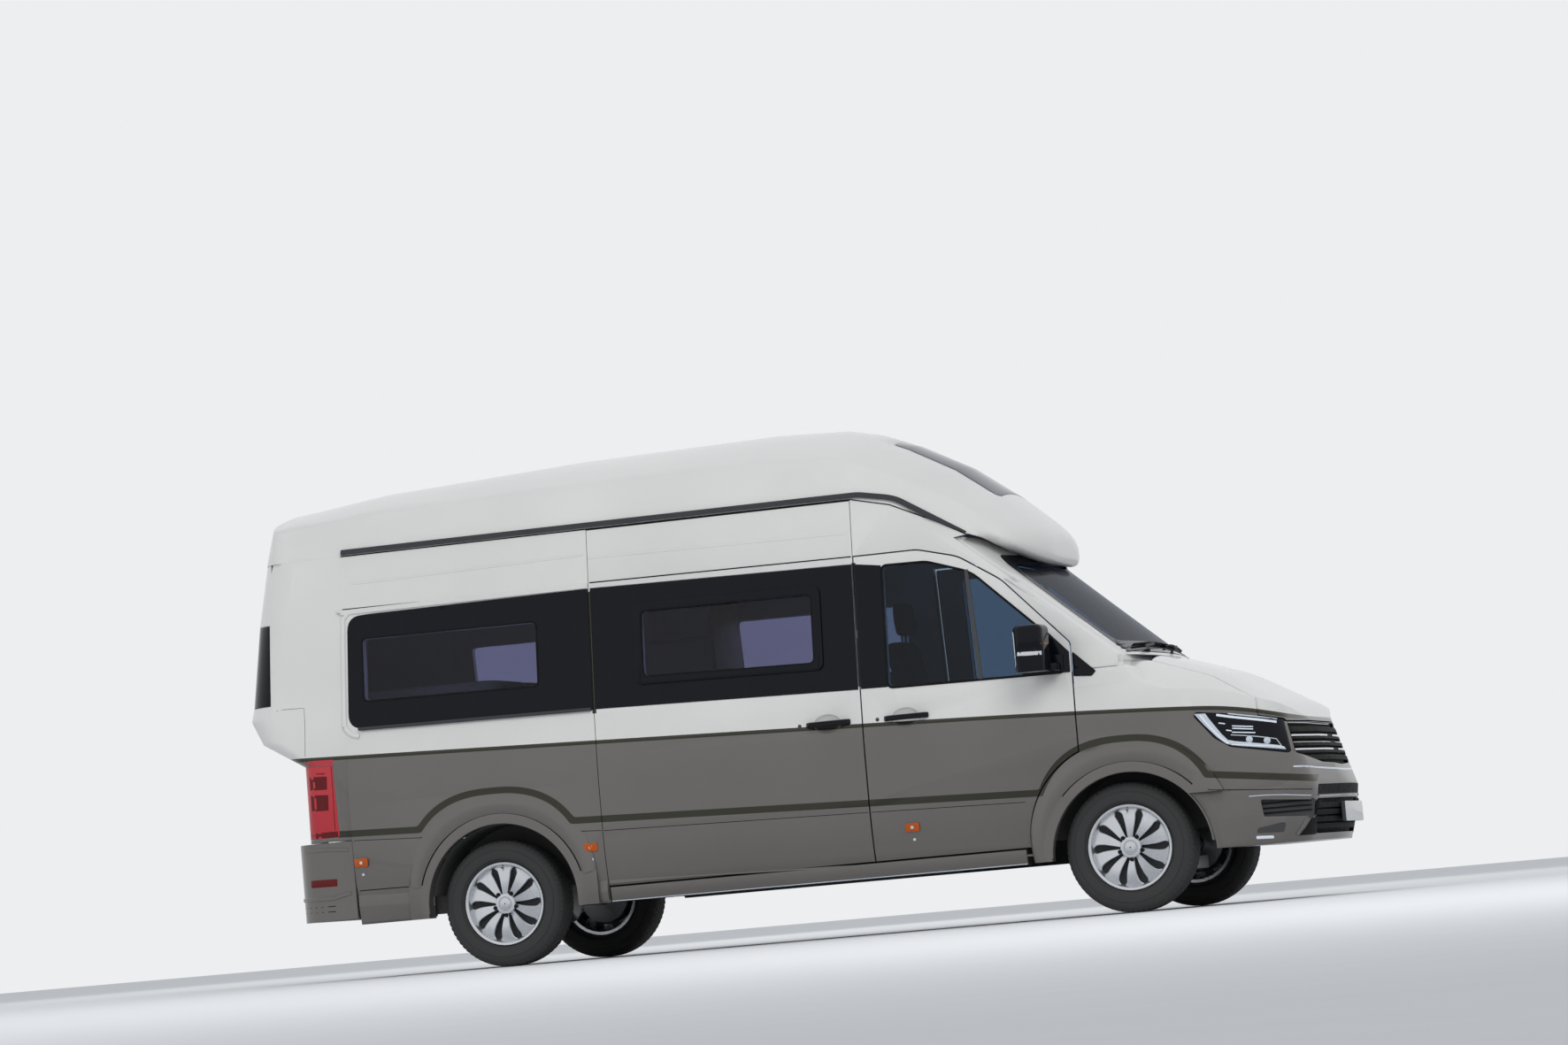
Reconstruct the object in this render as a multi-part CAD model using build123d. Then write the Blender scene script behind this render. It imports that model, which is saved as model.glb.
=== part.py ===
from build123d import *
import math
import os

# Camper van, millimetres. X points forward, Y to the left, Z up, floor at Z = 0.
# The origin lies on the floor under the middle of the van's length and width.
# Stations (X values in the tables) are measured from the front axle, plus forwards.

# Overall sizes
LENGTH = 6244.0
FRONT_OVERHANG = 1092.0
WHEELBASE = 3640.0
FRONT_AXLE_X = LENGTH / 2 - FRONT_OVERHANG
REAR_AXLE_X = FRONT_AXLE_X - WHEELBASE

# Body cross-section, half widths and heights
SILL_Z = 310.0
SILL_HALF = 955.0
SIDE_LOW_Z = 600.0
SIDE_HIGH_Z = 1060.0
SIDE_HALF = 1003.0
BELT_Z = 1415.0
BELT_HALF = 977.0
RAIL_Z = 2425.0
RAIL_HALF = 857.0
SECTION_RADIUS = 1800.0

# Wall thicknesses
WALL = 50.0
DOOR_SKIN = 10.0
GLASS = 6.0
ROOF_WALL = 35.0
NOSE_WALL = 25.0
LAMP_DEPTH = 60.0

# Clearances
SEAM = 4.0
DOOR_GAP = 8.0
DOOR_STEP = 16.0
SEAT_GAP = 0.3
GLASS_GAP = 3.0

# Stations of the main seams
COWL_X = 150.0
CAB_SEAM_X = -223.0
B_POST_X = -1425.0
SLIDE_SEAM_X = -2990.0
TAIL_SEAM_X = -4500.0
DOOR_BOTTOM_Z = 405.0
DOOR_TOP_Z = 2100.0

# Wheels and arches
TYRE_RADIUS = 357.0
TYRE_WIDTH = 235.0
TREAD_HALF = 100.0
RIM_RADIUS = 222.0
FLANGE_RADIUS = 236.0
TRACK = 1665.0
WHEEL_Z = TYRE_RADIUS
ARCH_RADIUS = 450.0
FLARE_HALF = 565.0
FLARE_CORNER = 515.0
FLARE_STAND = 17.0
FLARE_SLOPE = 62.0
LINER_WALL = 6.0
LINER_INNER_HALF = 470.0
LINER_TABS = (-320.0, 230.0)
KINGPIN_HALF = 700.0
SPOKES = 10

# Load floor
FLOOR_Z = 640.0
FLOOR_WALL = 40.0
ROCKER_INNER_HALF = 900.0

# Chassis rails
RAIL_IN = 360.0
RAIL_OUT = 430.0
RAIL_LOW_Z = 515.0
FRAME_TOP_Z = FLOOR_Z - FLOOR_WALL
FRAME_TAIL_X = -4700.0

AXLES = (("front", FRONT_AXLE_X), ("rear", REAR_AXLE_X))
# Of each axle's wheel arches: X and Z of the round's middle, and the height of the flare's top
ARCHES = {
    FRONT_AXLE_X: (FRONT_AXLE_X + 34.0, 318.0, 938.0),
    REAR_AXLE_X: (REAR_AXLE_X + 27.0, 361.0, 985.0),
}
# Of each axle's inner liners: X and Z of the round's middle, and its radius.
# The front one clears the steered tyres.
LINERS = {
    FRONT_AXLE_X: (FRONT_AXLE_X + 12.0, WHEEL_Z, 451.0),
    REAR_AXLE_X: (REAR_AXLE_X + 27.0, 361.0, ARCH_RADIUS - 1),
}
SIDES = (("left", 1), ("right", -1))

parts = {}


def at(station):
    """X of a station measured from the front axle."""
    return FRONT_AXLE_X + station


def outline(rows, plane, level):
    """Flat closed outline; each row is u, v and the radius of that corner."""
    place = {
        "xz": lambda u, v: (u, level, v),
        "yz": lambda u, v: (level, u, v),
        "xy": lambda u, v: (u, v, level),
    }[plane]
    points = [place(u, v) for u, v, _ in rows]
    return make_face(FilletPolyline(*points, radius=[r for _, _, r in rows], close=True))


def stations(rows):
    """The same rows with their stations turned into X values."""
    return [(at(x), z, r) for x, z, r in rows]


def side_block(rows, side, near=0.0, far=1300.0):
    """Outline in X and Z pushed out sideways from |Y| = near to far on one side."""
    face = outline(rows, "xz", side * near)
    return extrude(face, far - near, dir=(0, side, 0))


def cross_block(rows, x_low, x_high):
    """Outline in Y and Z pushed along X."""
    return extrude(outline(rows, "yz", x_low), x_high - x_low, dir=(1, 0, 0))


def plan_block(rows, z_low, z_high):
    """Outline in X and Y pushed up."""
    return extrude(outline(rows, "xy", z_low), z_high - z_low, dir=(0, 0, 1))


def block(x_low, x_high, y_low, y_high, z_low, z_high):
    """Plain box from its limits."""
    size = (x_high - x_low, y_high - y_low, z_high - z_low)
    middle = ((x_low + x_high) / 2, (y_low + y_high) / 2, (z_low + z_high) / 2)
    return Pos(*middle) * Box(*size)


def drum(x, z, radius, y_low, y_high):
    """Cylinder along Y."""
    length = y_high - y_low
    return Pos(x, (y_low + y_high) / 2, z) * Rot(90, 0, 0) * Cylinder(radius, length)


def both(make):
    """The left and the right copy of a piece, as two solids of one node."""
    return [make(side) for _, side in SIDES]


def keep(name, *shapes):
    """Collects the solids of one node."""
    solids = []
    for shape in shapes:
        for item in shape if isinstance(shape, (list, tuple)) else [shape]:
            solids.extend(item.solids())
    parts[name] = solids


def body_block(inset, station_low, station_high, low=SILL_Z, high=RAIL_Z):
    """The body's cross-section, moved in by inset, run between two stations."""
    lean = (BELT_HALF - RAIL_HALF) / (RAIL_Z - BELT_Z)
    tuck = (SIDE_HALF - SILL_HALF) / (SIDE_LOW_Z - SILL_Z)
    top_half = RAIL_HALF - (high - RAIL_Z) * lean - inset
    low_half = SILL_HALF - (SILL_Z - low) * tuck - inset
    right = [
        (low_half, low, 0),
        (SIDE_HALF - inset, SIDE_LOW_Z, SECTION_RADIUS),
        (SIDE_HALF - inset, SIDE_HIGH_Z, SECTION_RADIUS),
        (BELT_HALF - inset, BELT_Z, SECTION_RADIUS),
        (top_half, high, 0),
    ]
    left = [(-y, z, r) for y, z, r in reversed(right)]
    return cross_block(right + left, at(station_low), at(station_high))


def layer(depth_out, depth_in, station_low, station_high):
    """A layer of the side walls between two depths under the outer face."""
    outer = body_block(depth_out, station_low, station_high)
    inner = body_block(depth_in, station_low - 50, station_high + 50, SILL_Z - 60, RAIL_Z + 60)
    return outer - inner


WALL_SHELL = layer(0, WALL, TAIL_SEAM_X, COWL_X)
SKIN_SHELL = layer(0, DOOR_SKIN, TAIL_SEAM_X, COWL_X)
CORE_SHELL = layer(DOOR_SKIN, WALL, TAIL_SEAM_X, COWL_X)
GLASS_SHELL = layer(0, GLASS, TAIL_SEAM_X, COWL_X)
RECESS_SHELL = layer(-5, GLASS + SEAT_GAP, TAIL_SEAM_X, COWL_X)


def grown(rows, side, amount, near=0.0):
    """Sideways block of an outline moved out by amount all round."""
    face = outline(rows, "xz", side * near)
    wider = offset(face, amount) if amount else face
    return extrude(wider, 1300.0 - near, dir=(0, side, 0))


# Windows: station and height of each corner, corner radius
BAND_LOW_Z = 1400.0
BAND_HIGH_Z = 2075.0
BAND_DROP = 40.0
REAR_BAND = stations([
    (-4440, BAND_LOW_Z + 25, 90),
    (SLIDE_SEAM_X - DOOR_GAP, BAND_LOW_Z, 0),
    (SLIDE_SEAM_X - DOOR_GAP, BAND_HIGH_Z + 10, 0),
    (-4425, BAND_HIGH_Z, 90),
])
MIDDLE_BAND = stations([
    (SLIDE_SEAM_X + DOOR_GAP, BAND_LOW_Z, 0),
    (B_POST_X - 2 * DOOR_GAP, BAND_LOW_Z - BAND_DROP, 0),
    (B_POST_X - 2 * DOOR_GAP, BAND_HIGH_Z - 15, 0),
    (SLIDE_SEAM_X + DOOR_GAP, BAND_HIGH_Z + 10, 0),
])
REAR_WINDOW = stations([(-4370, 1580, 25), (-3325, 1568, 25), (-3325, 1925, 25), (-4370, 1932, 25)])
MIDDLE_WINDOW = stations([(-2690, 1556, 25), (-1680, 1532, 25), (-1680, 1916, 25), (-2690, 1926, 25)])
CAB_WINDOW = stations([
    (-1265, 1357, 30),
    (-268, 1345, 20),
    (-268, 1480, 60),
    (-760, 1945, 260),
    (-1010, 2028, 200),
    (-1265, 2032, 30),
])

# Cab door: outline in stations and heights, left open at the flare
CAB_DOOR = stations([
    (B_POST_X, DOOR_BOTTOM_Z, 0),
    (CAB_SEAM_X, DOOR_BOTTOM_Z, 0),
    (CAB_SEAM_X, 1500, 40),
    (-590, 1885, 300),
    (-830, 2040, 260),
    (-1060, DOOR_TOP_Z, 200),
    (B_POST_X, DOOR_TOP_Z, 0),
])
SLIDING_DOOR = stations([
    (SLIDE_SEAM_X, DOOR_BOTTOM_Z, 0),
    (B_POST_X - DOOR_GAP, DOOR_BOTTOM_Z, 0),
    (B_POST_X - DOOR_GAP, RAIL_Z - DOOR_GAP, 0),
    (SLIDE_SEAM_X, RAIL_Z - DOOR_GAP, 0),
])


def arch(axle_x, radius, side, near=0.0):
    """Round cutter over a wheel, open downwards."""
    middle, level, _ = ARCHES[axle_x]
    span = sorted((side * near, side * 1300.0))
    return block(middle - radius, middle + radius, *span, 0, level) + drum(middle, level, radius, *span)


def flare_form(axle_x, side, amount, near, far):
    """Flare's outline, moved out by amount, between two half widths."""
    middle, _, top = ARCHES[axle_x]
    half, corner = FLARE_HALF + amount, FLARE_CORNER + amount
    crown = top + amount
    rows = [(middle - half, SILL_Z, 0), (middle - half, crown, corner), (middle + half, crown, corner),
            (middle + half, SILL_Z, 0)]
    return outline(rows, "xz", side * near), side_block(rows, side, near, far)


def flare(axle_x, side):
    """Raised lip round a wheel arch, standing on the body side."""
    _, base = flare_form(axle_x, side, 0, 960.0, SIDE_HALF)
    foot, _ = flare_form(axle_x, side, 0, SIDE_HALF, SIDE_HALF + 1)
    crest, _ = flare_form(axle_x, side, -FLARE_SLOPE, SIDE_HALF + FLARE_STAND, SIDE_HALF + FLARE_STAND + 1)
    return base + loft([foot, crest], ruled=True) - arch(axle_x, ARCH_RADIUS, side)


# Body sides
def quarter_panel(side):
    """Side wall behind the sliding door, or the whole wall on the closed side."""
    front = SLIDE_SEAM_X - SEAM if side < 0 else B_POST_X - DOOR_GAP
    rows = stations([(TAIL_SEAM_X, SILL_Z, 0), (front, SILL_Z, 0), (front, RAIL_Z, 0),
                     (TAIL_SEAM_X, RAIL_Z, 0)])
    wall = WALL_SHELL & side_block(rows, side, 700.0)
    wall -= arch(REAR_AXLE_X, ARCH_RADIUS, side)
    wall += flare(REAR_AXLE_X, side)
    if side < 0:
        wall -= side_block([(x, z, 0) for x, z, _ in SLIDING_DOOR], side, 700.0)
    windows = [REAR_WINDOW] if side < 0 else [REAR_WINDOW, MIDDLE_WINDOW]
    bands = [REAR_BAND] if side < 0 else [REAR_BAND, MIDDLE_BAND]
    for rows in bands:
        wall -= RECESS_SHELL & grown(rows, side, GLASS_GAP)
    for rows in windows:
        wall -= side_block(rows, side, 700.0)
    return wall


keep("side_panel_right", quarter_panel(-1))
keep("side_panel_left", quarter_panel(1))


def door_leaf(rows, side, window, band):
    """A door as thick as the wall: full outer skin, smaller inner part."""
    skin = SKIN_SHELL & side_block(rows, side, 700.0)
    core = CORE_SHELL & grown(rows, side, -DOOR_STEP, 700.0)
    leaf = skin + core
    leaf -= RECESS_SHELL & grown(band, side, GLASS_GAP)
    return leaf - side_block(window, side, 700.0)


def sliding_door():
    """Side door with its two lower guide arms, which end on the rocker's inner wall."""
    leaf = door_leaf(SLIDING_DOOR, -1, MIDDLE_WINDOW, MIDDLE_BAND)
    for x in (-2850, -1650):
        leaf += block(at(x), at(x + 90), -935, -ROCKER_INNER_HALF, 425, 460)
    return leaf


keep("sliding_door", sliding_door())


def band_glass(rows, side):
    """One pane following the body side."""
    return GLASS_SHELL & side_block(rows, side, 700.0)


keep("side_glass", [band_glass(rows, side) for rows in (REAR_BAND, MIDDLE_BAND) for _, side in SIDES])


def cab_door(side):
    """Front door, cut back round the wheel flare."""
    leaf = door_leaf(CAB_DOOR, side, CAB_WINDOW, CAB_WINDOW)
    return leaf - flare_form(FRONT_AXLE_X, side, DOOR_GAP, 700.0, 1300.0)[1]


for name, side in SIDES:
    keep("cab_door_" + name, cab_door(side))
    keep("cab_door_glass_" + name, band_glass(CAB_WINDOW, side))

# Windscreen: station and height of its top and foot, at the middle and at the sides
SCREEN_TOP_Z = 2150.0
SCREEN_FOOT_Z = 1412.0
SCREEN_MIDDLE = (150.0, -660.0)
SCREEN_EDGE = (60.0, -825.0)
SCREEN_EDGE_HALF = 860.0
SCREEN_FRAME = 40.0
SCREEN_GLASS_ROWS = [(-800, 1432, 60), (800, 1432, 60), (735, 2040, 90), (-735, 2040, 90)]
SCREEN_HOLE_ROWS = [(-750, 1475, 60), (750, 1475, 60), (690, 1990, 90), (-690, 1990, 90)]


def screen_slab(depth_out, depth_in):
    """Slab bent across the cab front, between two depths behind the glass face."""
    faces = []
    for y in (-SCREEN_EDGE_HALF, 0.0, SCREEN_EDGE_HALF):
        foot, top = SCREEN_EDGE if y else SCREEN_MIDDLE
        rows = stations([
            (foot - depth_out, SCREEN_FOOT_Z, 0),
            (top - depth_out, SCREEN_TOP_Z, 0),
            (top - depth_in, SCREEN_TOP_Z, 0),
            (foot - depth_in, SCREEN_FOOT_Z, 0),
        ])
        faces.append(outline(rows, "xz", y))
    return loft(faces)


def screen_cutter(rows):
    """Front-view outline pushed along X through the cab front."""
    return cross_block(rows, at(-900), at(300))


# High roof: station, bottom height, bottom half width, shoulder height and half width, crown height
ROOF_STATIONS = (
    (-5060, RAIL_Z, 835, 2600, 770, 2745),
    (-4400, RAIL_Z, 857, 2655, 776, 2825),
    (-3200, RAIL_Z, 857, 2685, 772, 2885),
    (-2000, RAIL_Z, 857, 2692, 770, 2905),
    (-1600, RAIL_Z, 857, 2675, 768, 2885),
    (-1425, RAIL_Z, 857, 2635, 768, 2845),
    (-1200, 2372, 864, 2545, 770, 2752),
    (-930, 2246, 875, 2410, 775, 2606),
    (-700, 2130, 880, 2270, 770, 2434),
    (-600, 2052, 880, 2195, 765, 2344),
    (-510, 1990, 880, 2125, 755, 2262),
    (-415, 1972, 870, 2045, 730, 2150),
)
ROOF_TAIL_X = -5030.0
ROOF_NOSE_X = -425.0
ROOF_NOSE_BOW = 160.0
ROOF_NOSE_FLAT = 330.0
ROOF_TAIL_LEAN = 150.0
ROOF_CORNER = 260.0
NOSE_CORNER = 420.0


def roof_section(row, inset):
    """One section of the roof: flat bottom, leaning sides and a crowned top."""
    station, low, low_half, high, high_half, crown = row
    closed = station > -1000
    low += ROOF_WALL * (inset > 0) if closed else -60 * (inset > 0)
    x = at(station)
    y_low, y_high = low_half - inset, high_half - inset
    high -= 0.7 * inset
    edges = [
        Line((x, -y_low, low), (x, y_low, low)),
        Line((x, y_low, low), (x, y_high, high)),
        ThreePointArc((x, y_high, high), (x, 0, crown - inset), (x, -y_high, high)),
        Line((x, -y_high, high), (x, -y_low, low)),
    ]
    return make_face(edges)


def roof_plan(inset):
    """Plan outline of the roof, round at the nose, leaning at the tail."""
    faces = []
    for z, lean in ((1900.0, 0.0), (2429.0, 0.0), (2950.0, 1.0)):
        tail = ROOF_TAIL_X + inset + ROOF_TAIL_LEAN * lean
        nose = ROOF_NOSE_X - inset
        half = 1000 - inset
        right = [(at(tail), -860 + inset, ROOF_CORNER), (at(nose - ROOF_NOSE_BOW), -half, NOSE_CORNER),
                 (at(nose), -ROOF_NOSE_FLAT, 900)]
        rows = right + [(x, -y, r) for x, y, r in reversed(right)]
        faces.append(outline(rows, "xy", z))
    return loft(faces, ruled=True)


def roof_block(inset):
    """Closed roof form, moved in by inset."""
    body = loft([roof_section(row, inset) for row in ROOF_STATIONS], ruled=True)
    return body & roof_plan(inset)


keep("high_roof", roof_block(0) - roof_block(ROOF_WALL))

ROOF_CLEAR = roof_block(-SEAT_GAP)
keep("windscreen", (screen_slab(0, GLASS) & screen_cutter(SCREEN_GLASS_ROWS)) - ROOF_CLEAR)


# Cab frame: posts, header over the doors, windscreen surround and cowl
def cab_side(side):
    """Fixed side of the cab round the door opening."""
    rows = stations([
        (B_POST_X + SEAM - DOOR_GAP, DOOR_TOP_Z, 0),
        (B_POST_X + SEAM - DOOR_GAP, RAIL_Z - SEAT_GAP, 0),
        (-1425, RAIL_Z - SEAT_GAP, 0),
        (-1200, 2372 - SEAT_GAP, 0),
        (-930, 2246 - SEAT_GAP, 0),
        (SCREEN_EDGE[1] + 60, 2163 - SEAT_GAP, 0),
        (SCREEN_EDGE[1] - 20, SCREEN_TOP_Z, 0),
        (SCREEN_EDGE[0] - 20, SCREEN_FOOT_Z, 0),
        (SCREEN_EDGE[0] - 20, 1350, 0),
        (CAB_SEAM_X + DOOR_GAP, 1350, 0),
    ])
    wall = WALL_SHELL & side_block(rows, side, 700.0)
    return wall - grown(CAB_DOOR, side, DOOR_GAP, 700.0)


def cab_frame():
    """Two sides joined by the windscreen surround, the roof header and the cowl."""
    surround = screen_slab(0, SCREEN_FRAME) & body_block(0, -1300, 300)
    surround -= screen_slab(-5, GLASS + SEAT_GAP) & screen_cutter([
        (y + math.copysign(GLASS_GAP, y), z + (GLASS_GAP if z > 1800 else -GLASS_GAP), r)
        for y, z, r in SCREEN_GLASS_ROWS])
    surround -= screen_cutter(SCREEN_HOLE_ROWS)
    edge = SCREEN_EDGE[1]
    header = block(at(edge - 200), at(edge + 30), -850, 850, SCREEN_TOP_Z - 45, SCREEN_TOP_Z)
    cowl = block(at(CAB_SEAM_X + 40), at(SCREEN_EDGE[0]), -940, 940, 1360, SCREEN_FOOT_Z)
    firewall = block(at(0), at(20), -455, 455, FLOOR_Z, 1380)
    frame = surround + header + cowl + firewall
    for side in both(cab_side):
        frame += side
    return frame - grown(CAB_DOOR, 1, DOOR_GAP, 700.0) - grown(CAB_DOOR, -1, DOOR_GAP, 700.0) - ROOF_CLEAR


keep("cab_frame", cab_frame())

# Tail: height, tail station, half width, corner radius
TAIL_LEVELS = (
    (795, -4790, 1000, 110),
    (1235, -4790, 992, 110),
    (1388, -5066, 978, 180),
    (1530, -5152, 963, 230),
    (1610, -5140, 954, 250),
    (2078, -5092, 898, 260),
    (2425, -5032, 857, 260),
)
TAIL_WALL = 45.0
HATCH_HALF = 780.0
HATCH_LOW_Z = 805.0
HATCH_HIGH_Z = 1566.0
TAIL_GLASS_LOW_Z = 1604.0
TAIL_GLASS_HIGH_Z = 2070.0
TAIL_GLASS_X = -4960.0
LAMP_ROWS = stations([(-4590, 1230, 12), (-4900, 1230, 0), (-4900, 818, 0), (-4575, 818, 12)])
TAIL_LAMP_HALF = 800.0


def tail_block(inset):
    """Closed form of the tail, moved in by inset."""
    faces = []
    for z, tail, half, radius in TAIL_LEVELS:
        x, y = at(tail) + inset, half - inset
        front = at(TAIL_SEAM_X) + inset
        r = max(radius - inset, 5)
        faces.append(outline([(front, -y, 0), (x, -y, r), (x, y, r), (front, y, 0)], "xy", z))
    return loft(faces, ruled=True)


def tail_layer(depth_out, depth_in):
    """Layer of the tail wall, open to the front."""
    inner = tail_block(depth_in)
    opening = block(at(TAIL_SEAM_X) - 10, at(TAIL_SEAM_X) + depth_in + 20, -820, 820, 700, 2500)
    return tail_block(depth_out) - inner - opening - block(
        at(-4950), at(TAIL_SEAM_X) + 50, -800, 800, 2300, 2500)


HATCH_ROWS = [(-HATCH_HALF, HATCH_LOW_Z, 40), (HATCH_HALF, HATCH_LOW_Z, 40),
              (HATCH_HALF, HATCH_HIGH_Z, 30), (-HATCH_HALF, HATCH_HIGH_Z, 30)]
TAIL_WALL_SHELL = tail_layer(0, TAIL_WALL)


def rear_cutter(rows, amount):
    """Rear-view outline, moved out by amount, pushed through the tail wall."""
    face = outline(rows, "yz", at(-5400))
    wider = offset(face, amount) if amount else face
    return extrude(wider, 700, dir=(1, 0, 0))


def tail_glass(depth, amount):
    """Pane wrapped round the tail and both its corners."""
    band = block(at(-5400), at(TAIL_GLASS_X) + amount, -1100, 1100,
                 TAIL_GLASS_LOW_Z - amount, TAIL_GLASS_HIGH_Z + amount)
    return (tail_block(-amount) - tail_block(depth)) & band


def rear_module():
    """Moulded tail with the hatch opening, the window opening and the lamp pockets."""
    shell = TAIL_WALL_SHELL - rear_cutter(HATCH_ROWS, DOOR_GAP)
    shell -= tail_glass(GLASS + SEAT_GAP, GLASS_GAP)
    shell -= rear_cutter([(-700, 1660, 60), (700, 1660, 60), (660, 2010, 60), (-660, 2010, 60)], 0)
    for _, side in SIDES:
        shell -= grown(LAMP_ROWS, side, SEAT_GAP, TAIL_LAMP_HALF - SEAT_GAP)
    return shell


keep("rear_module", rear_module())
keep("rear_hatch", TAIL_WALL_SHELL & rear_cutter(HATCH_ROWS, 0))
keep("rear_window", tail_glass(GLASS, 0))
keep("tail_lamps", both(lambda side: TAIL_WALL_SHELL & side_block(LAMP_ROWS, side, TAIL_LAMP_HALF)))

# Rear bumper
BUMPER_TAIL_X = -4888.0
BUMPER_TOP_Z = 791.0
BUMPER_STEP_Z = 735.0
BUMPER_LOW_Z = 345.0
BUMPER_WALL = 60.0
BUMPER_CORNER = 200.0


def rear_bumper():
    """Wrap-round bumper, lower in the middle where the hatch swings over it."""
    def ring(inset):
        x, y = at(BUMPER_TAIL_X) + inset, SIDE_HALF - 8 - inset
        front, corner = at(TAIL_SEAM_X) - SEAM, BUMPER_CORNER - inset
        rows = [(front, -y, 0), (x, -y, corner), (x, y, corner), (front, y, 0)]
        return plan_block(rows, BUMPER_LOW_Z, BUMPER_TOP_Z)
    shell = ring(0) - ring(BUMPER_WALL)
    shell -= block(at(TAIL_SEAM_X) - 80, at(TAIL_SEAM_X) + 60, -900, 900, 300, 900)
    shell -= block(at(-5000), at(-4780), -HATCH_HALF - 10, HATCH_HALF + 10, BUMPER_STEP_Z, 900)
    inner = at(BUMPER_TAIL_X) + BUMPER_WALL
    for _, side in SIDES:
        shell += block(inner - 5, at(FRAME_TAIL_X), *sorted((side * RAIL_IN, side * RAIL_OUT)), 530, 585)
    return shell


keep("rear_bumper", rear_bumper())

# Front end: side profile, and how far it drops towards each side
NOSE_PROFILE = (
    (-260, 310, 0),
    (1062, 310, 60),
    (FRONT_OVERHANG, 545, 60),
    (FRONT_OVERHANG, 615, 60),
    (1040, 715, 40),
    (958, 950, 40),
    (865, 1080, 260),
    (500, 1292, 900),
    (150, 1412, 0),
    (-260, 1440, 0),
)
LIP_Z = 955.0
DROP_REACH = 350.0
BONNET_DROP = ((-1020, 190), (-740, 45), (0, 0), (740, 45), (1020, 190))
# Height, then station and half width where the side turns in and where the corner ends, nose station
NOSE_LEVELS = (
    (300, 350, 1010, 925, 700, 1050),
    (480, 350, 1010, 965, 740, 1105),
    (620, 350, 1010, 980, 760, 1114),
    (720, 320, 1008, 950, 770, 1075),
    (1000, 280, 1006, 860, 780, 985),
    (1460, 280, 1006, 830, 780, 955),
)


def front_block(inset):
    """Closed form of the front end, moved in by inset."""
    faces = []
    for y, drop in BONNET_DROP:
        rows = [(at(x), z - drop * min(max(z - LIP_Z, 0.0) / DROP_REACH, 1.0), r) for x, z, r in NOSE_PROFILE]
        face = outline(rows, "xz", y)
        faces.append(offset(face, -inset, kind=Kind.INTERSECTION) if inset else face)
    hull = loft(faces)
    plans = []
    for z, turn_x, turn_y, end_x, end_y, nose_x in NOSE_LEVELS:
        right = [(at(-300), -turn_y + inset, 0), (at(turn_x), -turn_y + inset, 700),
                 (at(end_x) - inset, -end_y + inset / 2, 250), (at(nose_x) - inset, 0, 1500)]
        left = [(x, -y, r) for x, y, r in reversed(right[:-1])]
        plans.append(outline(right + left, "xy", z))
    return hull & loft(plans, ruled=True) & body_block(inset, -260, 1200, SILL_Z + (5 if inset else 0), 1500)


BONNET_LOW_Z = 972.0
BONNET_PLAN = ((-60, 690), (160, 700), (500, 715), (720, 812), (1300, 830))
LAMP_SIDE = stations([(400, 1060, 20), (520, 905, 60), (600, 850, 60), (905, 790, 15), (870, 978, 15),
                      (654, 1026, 60)])
LAMP_NEAR = 560.0
GRILLE_ROWS = ((0, 722, 0), (400, 735, 0), (715, 790, 20), (686, 962, 20), (0, 962, 0))
GRILLE_BACK = 800.0
FRONT_SPLIT = stations([(300, 250, 0), (1300, 250, 0), (1300, 712, 0), (915, 712, 30), (865, 618, 60),
                        (300, 618, 0)])
INTAKE_ROWS = [(-560, 345, 30), (560, 345, 30), (640, 535, 30), (-640, 535, 30)]
SIDE_INTAKE_ROWS = stations([(738, 458, 10), (1000, 440, 10), (1000, 528, 10), (728, 552, 10)])
SLAT = 14.0
GRILLE_SLATS = 5
INTAKE_SLATS = 4


def mirrored(rows):
    """Closed rows from one half, given as half width, height and radius."""
    left = [(-y, z, r) for y, z, r in reversed(rows) if y > 0]
    return list(rows) + left


def bonnet_region(amount):
    """Plan outline of the bonnet, moved out by amount, above its front edge."""
    right = [(at(x), half, 150 if 0 < x < 1000 else 0) for x, half in BONNET_PLAN]
    rows = right + [(x, -y, r) for x, y, r in reversed(right)]
    face = outline(rows, "xy", BONNET_LOW_Z - amount)
    return extrude(offset(face, amount) if amount else face, 600, dir=(0, 0, 1))


def front_cutter(rows, amount, back):
    """Front-view outline, moved out by amount, pushed forward from a station."""
    face = outline(rows, "yz", at(back))
    return extrude(offset(face, amount) if amount else face, 900, dir=(1, 0, 0))


NOSE_OUTER = front_block(0)
NOSE_INNER = front_block(NOSE_WALL)
NOSE_CORE = front_block(LAMP_DEPTH)
NOSE_SHELL = NOSE_OUTER - NOSE_INNER
NOSE_BACK = NOSE_INNER - NOSE_CORE
AHEAD = block(at(CAB_SEAM_X) + DOOR_GAP, at(1300), -1200, 1200, 200, 1600)


def lamp_region(side, amount):
    """Headlamp outline seen from the side."""
    face = outline(LAMP_SIDE, "xz", side * (LAMP_NEAR - amount))
    return extrude(offset(face, amount) if amount else face, 600, dir=(0, side, 0))


def below_split(amount):
    """Space of the bumper, grown by amount."""
    face = outline(FRONT_SPLIT, "xz", -1200)
    return extrude(offset(face, amount) if amount else face, 2400, dir=(0, 1, 0))


def bonnet():
    """Crowned lid between the wings, ending above the lamps and the grille."""
    lid = NOSE_SHELL & bonnet_region(0) & block(at(COWL_X + 18), at(1300), -1000, 1000, BONNET_LOW_Z, 1500)
    return lid - lamp_region(1, DOOR_GAP) - lamp_region(-1, DOOR_GAP)


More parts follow.
